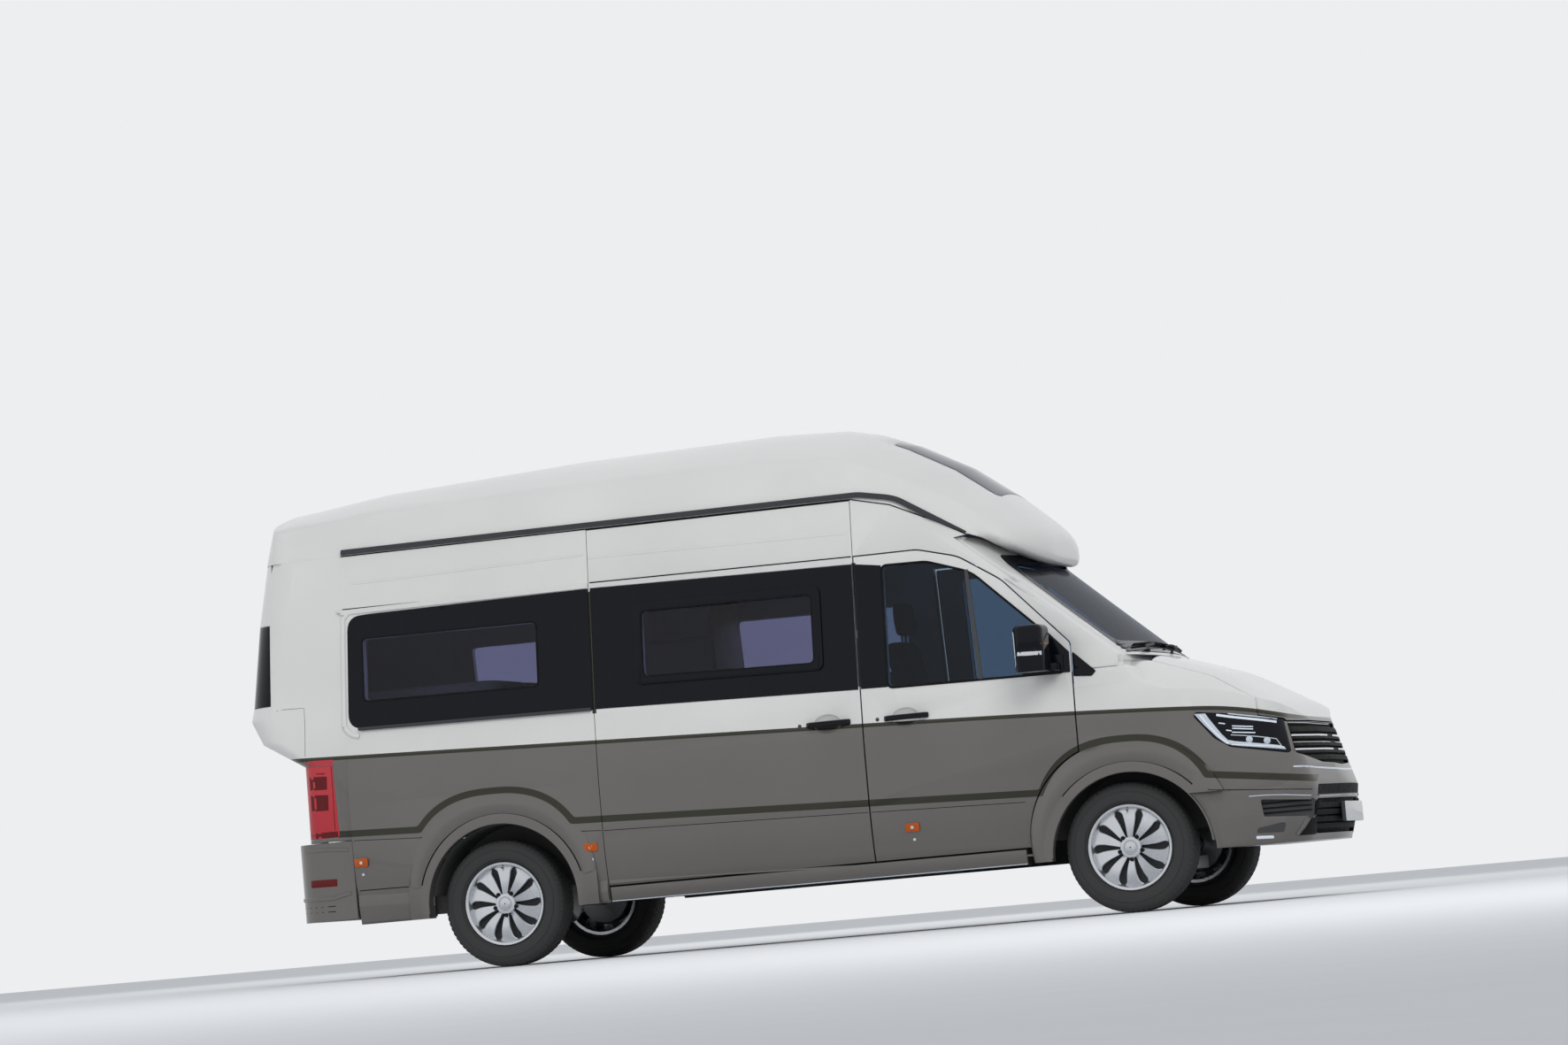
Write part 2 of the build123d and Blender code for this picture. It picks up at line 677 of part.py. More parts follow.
def front_wings():
    """Both wings with the panel under the lamps, joined across the nose."""
    shell = NOSE_SHELL & AHEAD
    shell -= bonnet_region(DOOR_GAP)
    shell -= below_split(SEAT_GAP)
    shell -= front_cutter(mirrored(GRILLE_ROWS), SEAT_GAP, GRILLE_BACK)
    shell -= block(at(CAB_SEAM_X) - 20, at(COWL_X + 18), -720, 720, 1200, 1500)
    shell -= block(at(CAB_SEAM_X) - 20, at(SCREEN_EDGE[0]), -948, 948, 600, 1500)
    shell -= block(at(CAB_SEAM_X) - 20, at(SCREEN_EDGE[0]), -1010, 1010, 1350 - SEAT_GAP, 1500)
    for _, side in SIDES:
        shell -= lamp_region(side, SEAT_GAP)
        shell += flare(FRONT_AXLE_X, side) & block(at(CAB_SEAM_X - 600), at(1300), -1200, 1200, 618.3, 1300)
        shell -= arch(FRONT_AXLE_X, ARCH_RADIUS, side)
    return shell


def front_bumper():
    """Bumper with the middle intake and two side intakes."""
    shell = NOSE_SHELL & below_split(0)
    for _, side in SIDES:
        shell -= arch(FRONT_AXLE_X, ARCH_RADIUS, side)
        shell -= side_block(SIDE_INTAKE_ROWS, side, 560)
    return shell - front_cutter(INTAKE_ROWS, 0, 700)


def slats(rows, count):
    """Frame with level slats, cut from the nose form."""
    region = front_cutter(rows, 0, 700)
    heights = [z for _, z, _ in rows]
    low, high = min(heights), max(heights)
    pitch = (high - low) / (count + 1)
    back = NOSE_BACK & region
    face = NOSE_SHELL & region
    levels = [low + pitch * (k + 1) for k in range(count)]
    bars = [face & block(at(600), at(1300), -900, 900, z - SLAT, z + SLAT) for z in levels]
    for bar in bars:
        back += bar
    return back


keep("bonnet", bonnet())
keep("front_wings", front_wings())
keep("front_bumper", front_bumper())
GRILLE_CUT = front_cutter(mirrored(GRILLE_ROWS), SEAM, GRILLE_BACK)
LAMP_LAYER = NOSE_OUTER - NOSE_CORE
keep("headlamps", both(lambda side: (LAMP_LAYER & lamp_region(side, 0)) - GRILLE_CUT))
keep("grille", slats(mirrored(GRILLE_ROWS), GRILLE_SLATS))
keep("lower_grille", slats([(y - math.copysign(SEAT_GAP, y), z + (SEAT_GAP if z < 400 else -SEAT_GAP), r)
                            for y, z, r in INTAKE_ROWS], INTAKE_SLATS))

# Wheels
RIM_WIDTH = 178.0
RIM_WALL = 9.0
HUB_RADIUS = 72.0
HUB_FACE_HALF = TRACK / 2 + 30.0
SPOKE_DEPTH = 26.0
DISC_RADIUS = 150.0
DISC_WALL = 28.0
PIN_RADIUS = 15.0
WHEEL_GAP = 0.5


def turned(rows, x, z):
    """Solid of revolution about a wheel axis; rows are radius, Y and corner radius."""
    points = [(x, y, z + radius) for radius, y, _ in rows]
    face = make_face(FilletPolyline(*points, radius=[r for _, _, r in rows], close=True))
    return revolve(face, Axis((x, 0, z), (0, 1, 0)), 360)


def wheel_rows(rows, side):
    """Rows given outwards from the wheel's middle plane, set on one side."""
    return [(radius, side * (TRACK / 2 + out), r) for radius, out, r in rows]


def tyre(x, side):
    """Closed tyre ring with bead seats, bulged walls and a crowned tread."""
    half, bead = TYRE_WIDTH / 2, RIM_WIDTH / 2 - 6
    seat = RIM_RADIUS + SEAT_GAP
    rows = [(seat, -bead, 0), (FLANGE_RADIUS + 4, -bead, 0), (FLANGE_RADIUS + 30, -half + 6, 20),
            (FLANGE_RADIUS + 75, -half, 40),
            (TYRE_RADIUS - 2, -TREAD_HALF, 18), (TYRE_RADIUS, 0, 900), (TYRE_RADIUS - 2, TREAD_HALF, 18),
            (FLANGE_RADIUS + 75, half, 40), (FLANGE_RADIUS + 30, half - 6, 20), (FLANGE_RADIUS + 4, bead, 0),
            (seat, bead, 0)]
    return turned(wheel_rows(rows, side), x, WHEEL_Z)


def rim(x, side):
    """Alloy wheel: barrel, outer lip, ten broad blades and a bored hub."""
    half = RIM_WIDTH / 2
    barrel = [(RIM_RADIUS - RIM_WALL - 8, -half, 0), (RIM_RADIUS, -half, 0), (RIM_RADIUS, half + 3, 0),
              (RIM_RADIUS - RIM_WALL, half + 3, 0), (RIM_RADIUS - RIM_WALL - 24, 0, 0)]
    lip = [(RIM_RADIUS - RIM_WALL, half - 5, 0), (RIM_RADIUS, half - 5, 0), (FLANGE_RADIUS, half - 2, 3),
           (FLANGE_RADIUS, half + 6, 3), (RIM_RADIUS - RIM_WALL, half + 6, 0)]
    face = [(22, HUB_FACE_HALF - TRACK / 2, 0), (HUB_RADIUS, HUB_FACE_HALF - TRACK / 2, 0),
            (RIM_RADIUS - RIM_WALL - 2, half - 24, 0), (RIM_RADIUS - RIM_WALL - 2, half, 0),
            (HUB_RADIUS, 62, 30),
            (22, 62, 0)]
    wheel = turned(wheel_rows(barrel, side), x, WHEEL_Z) + turned(wheel_rows(lip, side), x, WHEEL_Z)
    disc = turned(wheel_rows(face, side), x, WHEEL_Z)
    slot = [(x - 13, WHEEL_Z + 88, 8), (x + 13, WHEEL_Z + 88, 8), (x + 34, WHEEL_Z + 200, 14),
            (x - 34, WHEEL_Z + 200, 14)]
    cutter = side_block(slot, side, 700.0)
    for k in range(SPOKES):
        disc -= cutter.rotate(Axis((x, 0, WHEEL_Z), (0, 1, 0)), 360.0 / SPOKES * k)
    return wheel + disc


def hub(x, side):
    """Brake disc with its hub flange."""
    face = side * (HUB_FACE_HALF - WHEEL_GAP)
    inner = face - side * DISC_WALL
    disc = drum(x, WHEEL_Z, DISC_RADIUS, *sorted((inner, inner - side * DISC_WALL)))
    return disc + drum(x, WHEEL_Z, HUB_RADIUS - 4, *sorted((face, inner - side * 5)))


for place, x in AXLES:
    for name, side in SIDES:
        keep(f"tyre_{place}_{name}", tyre(x, side))
        keep(f"rim_{place}_{name}", rim(x, side))

# Front suspension: knuckles that steer, and what carries them
ARM_Z = 235.0
ARM_WALL = 34.0
KNUCKLE_TOP_Z = 530.0
BOSS_RADIUS = 34.0
PIN_GAP = 0.3


def knuckle(side):
    """Steering knuckle with hub, brake disc and an upright pinned top and bottom."""
    y = side * KINGPIN_HALF
    inner = HUB_FACE_HALF - 2 * DISC_WALL - 10
    low = ARM_Z + ARM_WALL / 2 + 6
    upright = block(at(-26), at(26), *sorted((y - side * 22, y + side * 22)), low, KNUCKLE_TOP_Z)
    stub = drum(FRONT_AXLE_X, WHEEL_Z, 45, *sorted((y, side * inner + side * 15)))
    pin_length = KNUCKLE_TOP_Z - ARM_Z + ARM_WALL / 2 + 40
    pin = Pos(FRONT_AXLE_X, y, ARM_Z - ARM_WALL / 2 + pin_length / 2) * Cylinder(PIN_RADIUS, pin_length)
    return hub(FRONT_AXLE_X, side) + upright + stub + pin


for name, side in SIDES:
    keep("knuckle_" + name, knuckle(side))


def bored_boss(side, z, height):
    """Round boss with the bore for the kingpin."""
    place = Pos(FRONT_AXLE_X, side * KINGPIN_HALF, z)
    return place * Cylinder(BOSS_RADIUS, height), place * Cylinder(PIN_RADIUS + PIN_GAP, height + 2)


def front_subframe():
    """Cross member with lower arms and spring towers."""
    frame = block(at(-150), at(150), -380, 380, 215, 285)
    link_top = KNUCKLE_TOP_Z + 46
    bores = []
    for _, side in SIDES:
        frame += block(at(-45), at(45), *sorted((side * 370, side * (KINGPIN_HALF - 20))),
                       ARM_Z - ARM_WALL / 2, ARM_Z + ARM_WALL / 2)
        lower, bore = bored_boss(side, ARM_Z, ARM_WALL)
        upper, bore_top = bored_boss(side, KNUCKLE_TOP_Z + 26, 40)
        frame += lower
        tower = block(at(-40), at(40), *sorted((side * 375, side * 450)), 250, RAIL_LOW_Z)
        tower += block(at(-40), at(40), *sorted((side * (RAIL_OUT + SEAT_GAP), side * 450)), 400, link_top)
        link = block(at(-40), at(40), *sorted((side * 440, side * (KINGPIN_HALF - 10))),
                     link_top - 40, link_top)
        frame += tower + link + upper
        bores += [bore, bore_top]
    for bore in bores:
        frame -= bore
    return frame


keep("front_subframe", front_subframe())


def rear_axle():
    """Beam axle with a differential housing, hubs and two leaf springs."""
    end = HUB_FACE_HALF - WHEEL_GAP - 2 * DISC_WALL
    beam = drum(REAR_AXLE_X, WHEEL_Z, 42, -end, end)
    housing = Pos(REAR_AXLE_X, 0, WHEEL_Z) * Rot(0, 90, 0) * Cylinder(135, 220)
    axle = beam + fillet(housing.edges(), 45)
    for _, side in SIDES:
        axle += hub(REAR_AXLE_X, side)
        y_low, y_high = side * 500 - 35, side * 500 + 35
        rows = [(REAR_AXLE_X - 640, 500, 0), (REAR_AXLE_X, 380, 500), (REAR_AXLE_X + 640, 500, 0),
                (REAR_AXLE_X + 640, 514, 0), (REAR_AXLE_X, 430, 500), (REAR_AXLE_X - 640, 514, 0)]
        spring = extrude(outline(rows, "xz", y_low), y_high - y_low, dir=(0, 1, 0))
        axle += spring + block(REAR_AXLE_X - 50, REAR_AXLE_X + 50, y_low, y_high, WHEEL_Z, 420)
    return axle


keep("rear_axle", rear_axle())

# Underbody
CROSS_STATIONS = (700, -560, -1500, -2400, -3000, -4250, -4640)
JACK_X = -1500.0
JACK_LOW_Z = 505.0
TOW_HOLE_RADIUS = 6.5
TOW_SPACING_Y = 400.0
TOW_SPACING_Z = 40.0


def chassis_frame():
    """Two long rails joined by cross members."""
    frame = None
    for _, side in SIDES:
        rail = block(at(FRAME_TAIL_X), at(830), *sorted((side * RAIL_IN, side * RAIL_OUT)),
                     RAIL_LOW_Z, FRAME_TOP_Z)
        frame = rail if frame is None else frame + rail
    for x in CROSS_STATIONS:
        frame += block(at(x - 30), at(x + 30), -RAIL_IN - 5, RAIL_IN + 5, RAIL_LOW_Z + 5, FRAME_TOP_Z - 5)
    for _, side in SIDES:
        for x in (REAR_AXLE_X - 655, REAR_AXLE_X + 640):
            frame += block(x, x + 15, *sorted((side * (RAIL_OUT - 1), side * 540)), 480, FRAME_TOP_Z)
        pad = sorted((side * (RAIL_IN + 10), side * (RAIL_OUT - 10)))
        frame += block(at(JACK_X - 40), at(JACK_X + 40), *pad, JACK_LOW_Z, RAIL_LOW_Z + 5)
    middle_z = (RAIL_LOW_Z + FRAME_TOP_Z) / 2
    for y in (-TOW_SPACING_Y / 2, TOW_SPACING_Y / 2):
        for z in (-TOW_SPACING_Z / 2, TOW_SPACING_Z / 2):
            bore = Rot(0, 90, 0) * Cylinder(TOW_HOLE_RADIUS, 100)
            frame -= Pos(at(CROSS_STATIONS[-1]), y, middle_z + z) * bore
    return frame


def floor_pan():
    """Load floor with rockers along both sides, cut over the rear wheels."""
    x_low, x_high = at(TAIL_SEAM_X) + 60, at(-565)
    floor = block(x_low, at(0), -460, 460, FRAME_TOP_Z, FLOOR_Z)
    floor += block(x_low, x_high, -ROCKER_INNER_HALF, ROCKER_INNER_HALF, FRAME_TOP_Z, FLOOR_Z)
    for _, side in SIDES:
        wall = sorted((side * (ROCKER_INNER_HALF - 20), side * ROCKER_INNER_HALF))
        floor += block(x_low, x_high, *wall, SILL_Z + 10, FLOOR_Z)
    rocker_front = block(at(SLIDE_SEAM_X), at(-565), -1100, 1100, SILL_Z, DOOR_BOTTOM_Z - DOOR_GAP)
    rocker = layer(0, 75, -4000, -560) & rocker_front
    left_keep = block(at(B_POST_X), at(-560), 0, 1100, 300, 500)
    right_keep = block(at(SLIDE_SEAM_X), at(-560), -1100, 0, 300, 500)
    floor += rocker & (left_keep + right_keep)
    for _, side in SIDES:
        floor -= arch(REAR_AXLE_X, ARCH_RADIUS + 1, side, 620)
    return floor - block(at(-565), at(60), -455 - 300, 455 + 300, 300, FRAME_TOP_Z - 1)


keep("chassis_frame", chassis_frame())
keep("floor_pan", floor_pan())


def liner(axle_x, side):
    """Inner wheel arch: a curved sheet with an inner wall, the front one on tabs at the rail."""
    middle, level, radius = LINERS[axle_x]
    near = LINER_INNER_HALF if axle_x == FRONT_AXLE_X else 640.0
    shell = drum(middle, level, radius, *sorted((side * near, side * 940.0)))
    shell -= drum(middle, level, radius - LINER_WALL, *sorted((side * (near + LINER_WALL), side * 1000.0)))
    if axle_x == FRONT_AXLE_X:
        shell -= block(middle - 110, middle + 80, -LINER_INNER_HALF - 10, LINER_INNER_HALF + 10, 300, 650)
        for x in LINER_TABS:
            tab = sorted((side * RAIL_OUT, side * (LINER_INNER_HALF + 2)))
            shell += block(at(x), at(x + 60), *tab, 560, 590)
    return shell & block(middle - 500, middle + 500, -1000, 1000, WHEEL_Z + 75, 900)


keep("arch_liners", [liner(x, side) for _, x in AXLES for _, side in SIDES])
engine = block(at(130), at(720), -300, 330, 610, 1080)
keep("engine_block", engine + block(at(280), at(440), -400, 400, FRAME_TOP_Z, FLOOR_Z))
tank = block(at(-2350), at(-1550), 455, 830, 330, FRAME_TOP_Z)
keep("fuel_tank", fillet(tank.edges(), 35))


def exhaust():
    """Silencer with its pipe, hung from the load floor."""
    can = Pos(at(-2700), -620, 470) * Rot(0, 90, 0) * Cylinder(95, 560)
    front = Pos(at(-1650), -620, 470) * Rot(0, 90, 0) * Cylinder(30, 1600)
    hangers = [block(at(x - 20), at(x + 20), -635, -605, 480, FRAME_TOP_Z) for x in (-2700, -1950)]
    return can + front + hangers[0] + hangers[1]


keep("exhaust", exhaust())


# Cab interior
def cab_seat(y):
    """Bucket seat on a box base."""
    x_low, x_high = at(-1480), at(-1000)
    base = block(x_low + 60, x_high, y - 210, y + 210, FLOOR_Z, 960)
    rows = [(x_low + 20, 960, 0), (x_high + 80, 960, 40), (x_high + 60, 1085, 50), (x_low + 150, 1070, 60),
            (x_low + 10, 1680, 50), (x_low - 100, 1670, 40)]
    cushion = extrude(outline(rows, "xz", y - 240), 480, dir=(0, 1, 0))
    rest = [(x_low - 80, 1700, 20), (x_low + 20, 1710, 30), (x_low - 10, 1900, 40), (x_low - 105, 1890, 40)]
    head = extrude(outline(rest, "xz", y - 130), 260, dir=(0, 1, 0))
    post = block(x_low - 60, x_low - 40, y - 60, y + 60, 1640, 1720)
    return base + cushion + head + post


keep("cab_seats", cab_seat(430), cab_seat(-430))

DASH_ROWS = stations([(0, 850, 40), (0, 1340, 20), (-60, 1345, 60), (-380, 1250, 60), (-420, 1100, 50),
                      (-200, 850, 60)])
dash = extrude(outline(DASH_ROWS, "xz", -860), 1720, dir=(0, 1, 0)) & body_block(WALL + 12, -500, 100)

STEER_TILT = 28.0
STEER_WHEEL = (-545.0, 430.0, 1215.0)
STEER_TURN = Rot(0, STEER_TILT - 90, 0) * Rot(0, 0, 90)
STEER_PLACE = Pos(at(STEER_WHEEL[0]), STEER_WHEEL[1], STEER_WHEEL[2]) * STEER_TURN
COLUMN_RADIUS = 22.0
COLUMN_LENGTH = 200.0
COLUMN_END_GAP = 5.0


def steering_wheel():
    """Rim, three spokes and a boss on a column, tilted."""
    ring = Torus(185, 14)
    spokes = Box(340, 40, 14) + Pos(0, -85, 0) * Box(36, 170, 14)
    column = Pos(0, 0, -COLUMN_LENGTH / 2) * Cylinder(COLUMN_RADIUS, COLUMN_LENGTH)
    return STEER_PLACE * (ring + spokes + Cylinder(60, 40) + column)


def column_bore():
    """Running bore for the steering column."""
    length = COLUMN_LENGTH + COLUMN_END_GAP
    return STEER_PLACE * Pos(0, 0, -length / 2) * Cylinder(COLUMN_RADIUS + PIN_GAP, length)


keep("steering_wheel", steering_wheel())
keep("dashboard", dash - grown(CAB_DOOR, 1, 30, 850) - grown(CAB_DOOR, -1, 30, 850) - column_bore())

# Living area furniture
keep("furniture", [
    block(at(-2560), at(-1800), 480, 860, FLOOR_Z, 1480),
    block(at(-3140), at(-2640), 260, 800, FLOOR_Z, 2300),
    block(at(-4700), at(-3700), -600, 600, 1480, 1560)
    + block(at(-3740), at(-3700), -600, 600, FLOOR_Z, 1500),
])

# Rails along the roof edge and under the rear side window
RAIL_STAND = 16.0
AWNING_RAIL = stations([(-4487, 2434, 0), (-1385, 2434, 300), (-1180, 2396, 300), (-790, 2150, 0),
                        (-770, 2178, 0), (-1170, 2424, 300), (-1380, 2464, 300), (-4487, 2464, 0)])
SLIDE_RAIL = stations([(-4416, 1412, 8), (-3004, 1392, 0), (-3004, 1410, 0), (-4416, 1430, 8)])
roof_strip = roof_block(-RAIL_STAND) - roof_block(-SEAT_GAP)
side_strip = body_block(-RAIL_STAND, -4500, -2900)
side_strip -= body_block(-SEAT_GAP, -4510, -2800, SILL_Z - 1, RAIL_Z + 1)
keep("body_rails",
     both(lambda side: roof_strip & side_block(AWNING_RAIL, side, 700)),
     side_strip & side_block(SLIDE_RAIL, -1, 700))

# Door mirrors
MIRROR_X = -392.0
MIRROR_Z = 1478.0
MIRROR_HALF = 1150.0
MIRROR_SIZE = (165.0, 236.0, 258.0)


def mirror(side):
    """Housing on a short arm with a foot that follows the door."""
    x_size, y_size, z_size = MIRROR_SIZE
    housing = Pos(at(MIRROR_X), side * MIRROR_HALF, MIRROR_Z) * Box(x_size, y_size, z_size)
    housing = fillet(housing.edges().filter_by(Axis.Z), 60)
    housing = fillet(housing.faces().sort_by(Axis.Z)[-1].edges(), 30)
    arm = block(at(-350), at(-275), *sorted((side * 940, side * (MIRROR_HALF - 60))), 1352, 1392)
    foot = block(at(-400), at(-262), *sorted((side * 940, side * 1000)), 1350, 1440)
    door_face = body_block(-SEAT_GAP, -600, 0, SILL_Z, RAIL_Z)
    return (housing + arm + foot) - door_face


for name, side in SIDES:
    keep("mirror_" + name, mirror(side))

# Roof window in the sloping front of the high roof
ROOF_WINDOW_PLAN = [(at(-1290), -330, 40), (at(-690), -380, 60), (at(-690), 380, 60), (at(-1290), 330, 40)]


def roof_window(amount, depth):
    """Pane let into the roof, moved out by amount."""
    face = outline(ROOF_WINDOW_PLAN, "xy", 2300)
    cutter = extrude(offset(face, amount) if amount else face, 700, dir=(0, 0, 1))
    return (roof_block(-amount) - roof_block(depth)) & cutter


keep("roof_window", roof_window(0, GLASS).solids().sort_by(Axis.Z)[-1])
roof = parts["high_roof"][0] - roof_window(GLASS_GAP, GLASS + SEAT_GAP)
keep("high_roof", roof)

os.makedirs("parts", exist_ok=True)
for name, solids in parts.items():
    export_step(Compound(children=solids) if len(solids) > 1 else solids[0], f"parts/{name}.step")
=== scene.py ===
"""Looks of the camper van: finishes, coachwork, wheels, lamps, trim, cabin and studio, built on the CAD frame."""
import logging
import math
from dataclasses import dataclass
from enum import Enum
from functools import partial
from typing import Any, Callable, Iterable, Optional, Sequence

import bmesh
import bpy
import numpy as np
from mathutils import Matrix, Vector
from mathutils.bvhtree import BVHTree
from mathutils.geometry import delaunay_2d_cdt


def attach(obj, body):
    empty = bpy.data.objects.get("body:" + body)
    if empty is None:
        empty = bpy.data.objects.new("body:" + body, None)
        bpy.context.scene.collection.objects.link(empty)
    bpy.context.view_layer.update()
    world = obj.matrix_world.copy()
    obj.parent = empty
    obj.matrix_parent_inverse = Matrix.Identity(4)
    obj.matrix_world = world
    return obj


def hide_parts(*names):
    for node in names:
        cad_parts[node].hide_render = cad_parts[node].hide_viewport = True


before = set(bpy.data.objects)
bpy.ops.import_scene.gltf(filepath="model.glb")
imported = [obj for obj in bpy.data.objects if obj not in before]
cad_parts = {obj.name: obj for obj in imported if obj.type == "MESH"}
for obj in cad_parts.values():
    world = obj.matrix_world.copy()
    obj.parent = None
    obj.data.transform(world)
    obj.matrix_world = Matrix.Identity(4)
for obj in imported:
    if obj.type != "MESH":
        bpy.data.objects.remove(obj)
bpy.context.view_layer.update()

logging.basicConfig(level=logging.INFO, format="%(message)s")
log = logging.getLogger("camper")

# Metres in the CAD frame: X forward, Y to the left, Z up. A station is X counted from the front axle.
FRONT_X, REAR_X = 2.030, -1.610
WHEEL_Z, TRACK_HALF = 0.357, 0.8325
LEFT, RIGHT = 1, -1
SIDE_NAME = {LEFT: "left", RIGHT: "right"}
HOME = Vector((0, 0, 0))
MERGE = 2e-5
UPWARD, SIDEWARD, FORWARD = (0, 0, 1), (0, 1, 0), (1, 0, 0)

Points = list[tuple[float, float]]
Shape = tuple[list, list]
Colour = tuple[float, float, float, float]


def linear(hex_colour: str, share: float = 1.0) -> Colour:
    """Turns an sRGB hex colour into linear values, scaled by a share."""
    values = [int(hex_colour[i:i + 2], 16) / 255 for i in (1, 3, 5)]
    red, green, blue = [min((v / 12.92 if v <= 0.04045 else ((v + 0.055) / 1.055) ** 2.4) * share, 1.0) for v in values]
    return red, green, blue, 1.0


def ease(value: float) -> float:
    """Smooth step of a value held between 0 and 1."""
    value = min(max(value, 0.0), 1.0)
    return value * value * (3 - 2 * value)


def feed(target: bpy.types.Node, inputs: dict | Sequence) -> None:
    """Gives a node its values and links, in order or by the name of the input."""
    for key, value in inputs.items() if isinstance(inputs, dict) else enumerate(inputs):
        if isinstance(value, bpy.types.NodeSocket):
            target.id_data.links.new(value, target.inputs[key])
        else:
            target.inputs[key].default_value = value


def node(tree: bpy.types.NodeTree, kind: str, inputs: dict | Sequence = (), output: int | str = 0,
         **settings: Any) -> Optional[bpy.types.NodeSocket]:
    """Adds one node with its settings and links.

    Args:
        tree: Tree that takes the node.
        kind: Blender's name of the node type.
        inputs: Values or source sockets, in order or by the name of the input.
        output: The output to hand back.
        settings: Properties of the node itself.

    Returns:
        The chosen output, if the node has one.
    """
    made = tree.nodes.new(kind)
    for name, value in settings.items():
        setattr(made, name, value)
    feed(made, inputs)
    return made.outputs[output] if made.outputs else None


class Surface:
    """A finish that makes its material once, at the first call."""

    name: str
    slot: str

    def build(self) -> bpy.types.Material:
        """Gives the material, with Object coordinates handed to dress()."""
        material = bpy.data.materials.get(self.name)
        if not material:
            material = bpy.data.materials.new(self.name)
            material.use_nodes = True
            self.dress(material.node_tree, node(material.node_tree, "ShaderNodeTexCoord", output="Object"))
        return material

    def dress(self, tree: bpy.types.NodeTree, place: bpy.types.NodeSocket) -> None:
        """Adds the nodes of this finish."""
        raise NotImplementedError


@dataclass(frozen=True)
class Finish(Surface):
    """A plain finish with slight variation of colour, gloss and grain.

    Attributes:
        name: Material name.
        colour: Base colour as hex.
        rough: Middle roughness.
        metal: Metallic share.
        coat: Clear coat weight.
        vary: Share by which the colour varies.
        scale: Cells per metre of the variation; 6 is a cloud of 170 mm.
        bump: Strength of the fine grain.
        grain: Cells per metre of the fine grain; 900 is a cell of 1.1 mm.
        slot: Slot of the record this finish belongs to; not used.
        shine: Specular level.
    """

    name: str
    colour: str
    rough: float = 0.4
    metal: float = 0.0
    coat: float = 0.0
    vary: float = 0.06
    scale: float = 6.0
    bump: float = 0.0
    grain: float = 900.0
    slot: str = "black_plastic"
    shine: float = 0.5

    def dress(self, tree: bpy.types.NodeTree, place: bpy.types.NodeSocket) -> None:
        """Adds clouds of colour and gloss and, where it has one, the grain."""
        cloud, gloss = (node(tree, "ShaderNodeTexNoise", {"Vector": place, "Scale": scale, "Detail": 3.0})
                        for scale in (self.scale, self.scale * 5))
        base = node(tree, "ShaderNodeMix", {0: node(tree, "ShaderNodeMapRange", (cloud, 0.3, 0.7)),
                                            6: linear(self.colour, 1 - self.vary),
                                            7: linear(self.colour, 1 + self.vary)}, 2, data_type="RGBA")
        rough = node(tree, "ShaderNodeMapRange", (gloss, 0.3, 0.7, self.rough * 0.9, self.rough * 1.1))
        feed(tree.nodes["Principled BSDF"], {
            "Base Color": base, "Roughness": rough, "Metallic": self.metal, "Coat Weight": self.coat,
            "Coat Roughness": 0.04, "Specular IOR Level": self.shine})
        if self.bump:
            grain = node(tree, "ShaderNodeTexNoise", {"Vector": place, "Scale": self.grain, "Detail": 2.0})
            relief = node(tree, "ShaderNodeBump", {"Strength": self.bump, "Distance": 0.001, "Height": grain})
            feed(tree.nodes["Principled BSDF"], {"Normal": relief})


WHITE, TAUPE, OLIVE = "#D6D6D3", "#6B6865", "#2B2A1F"


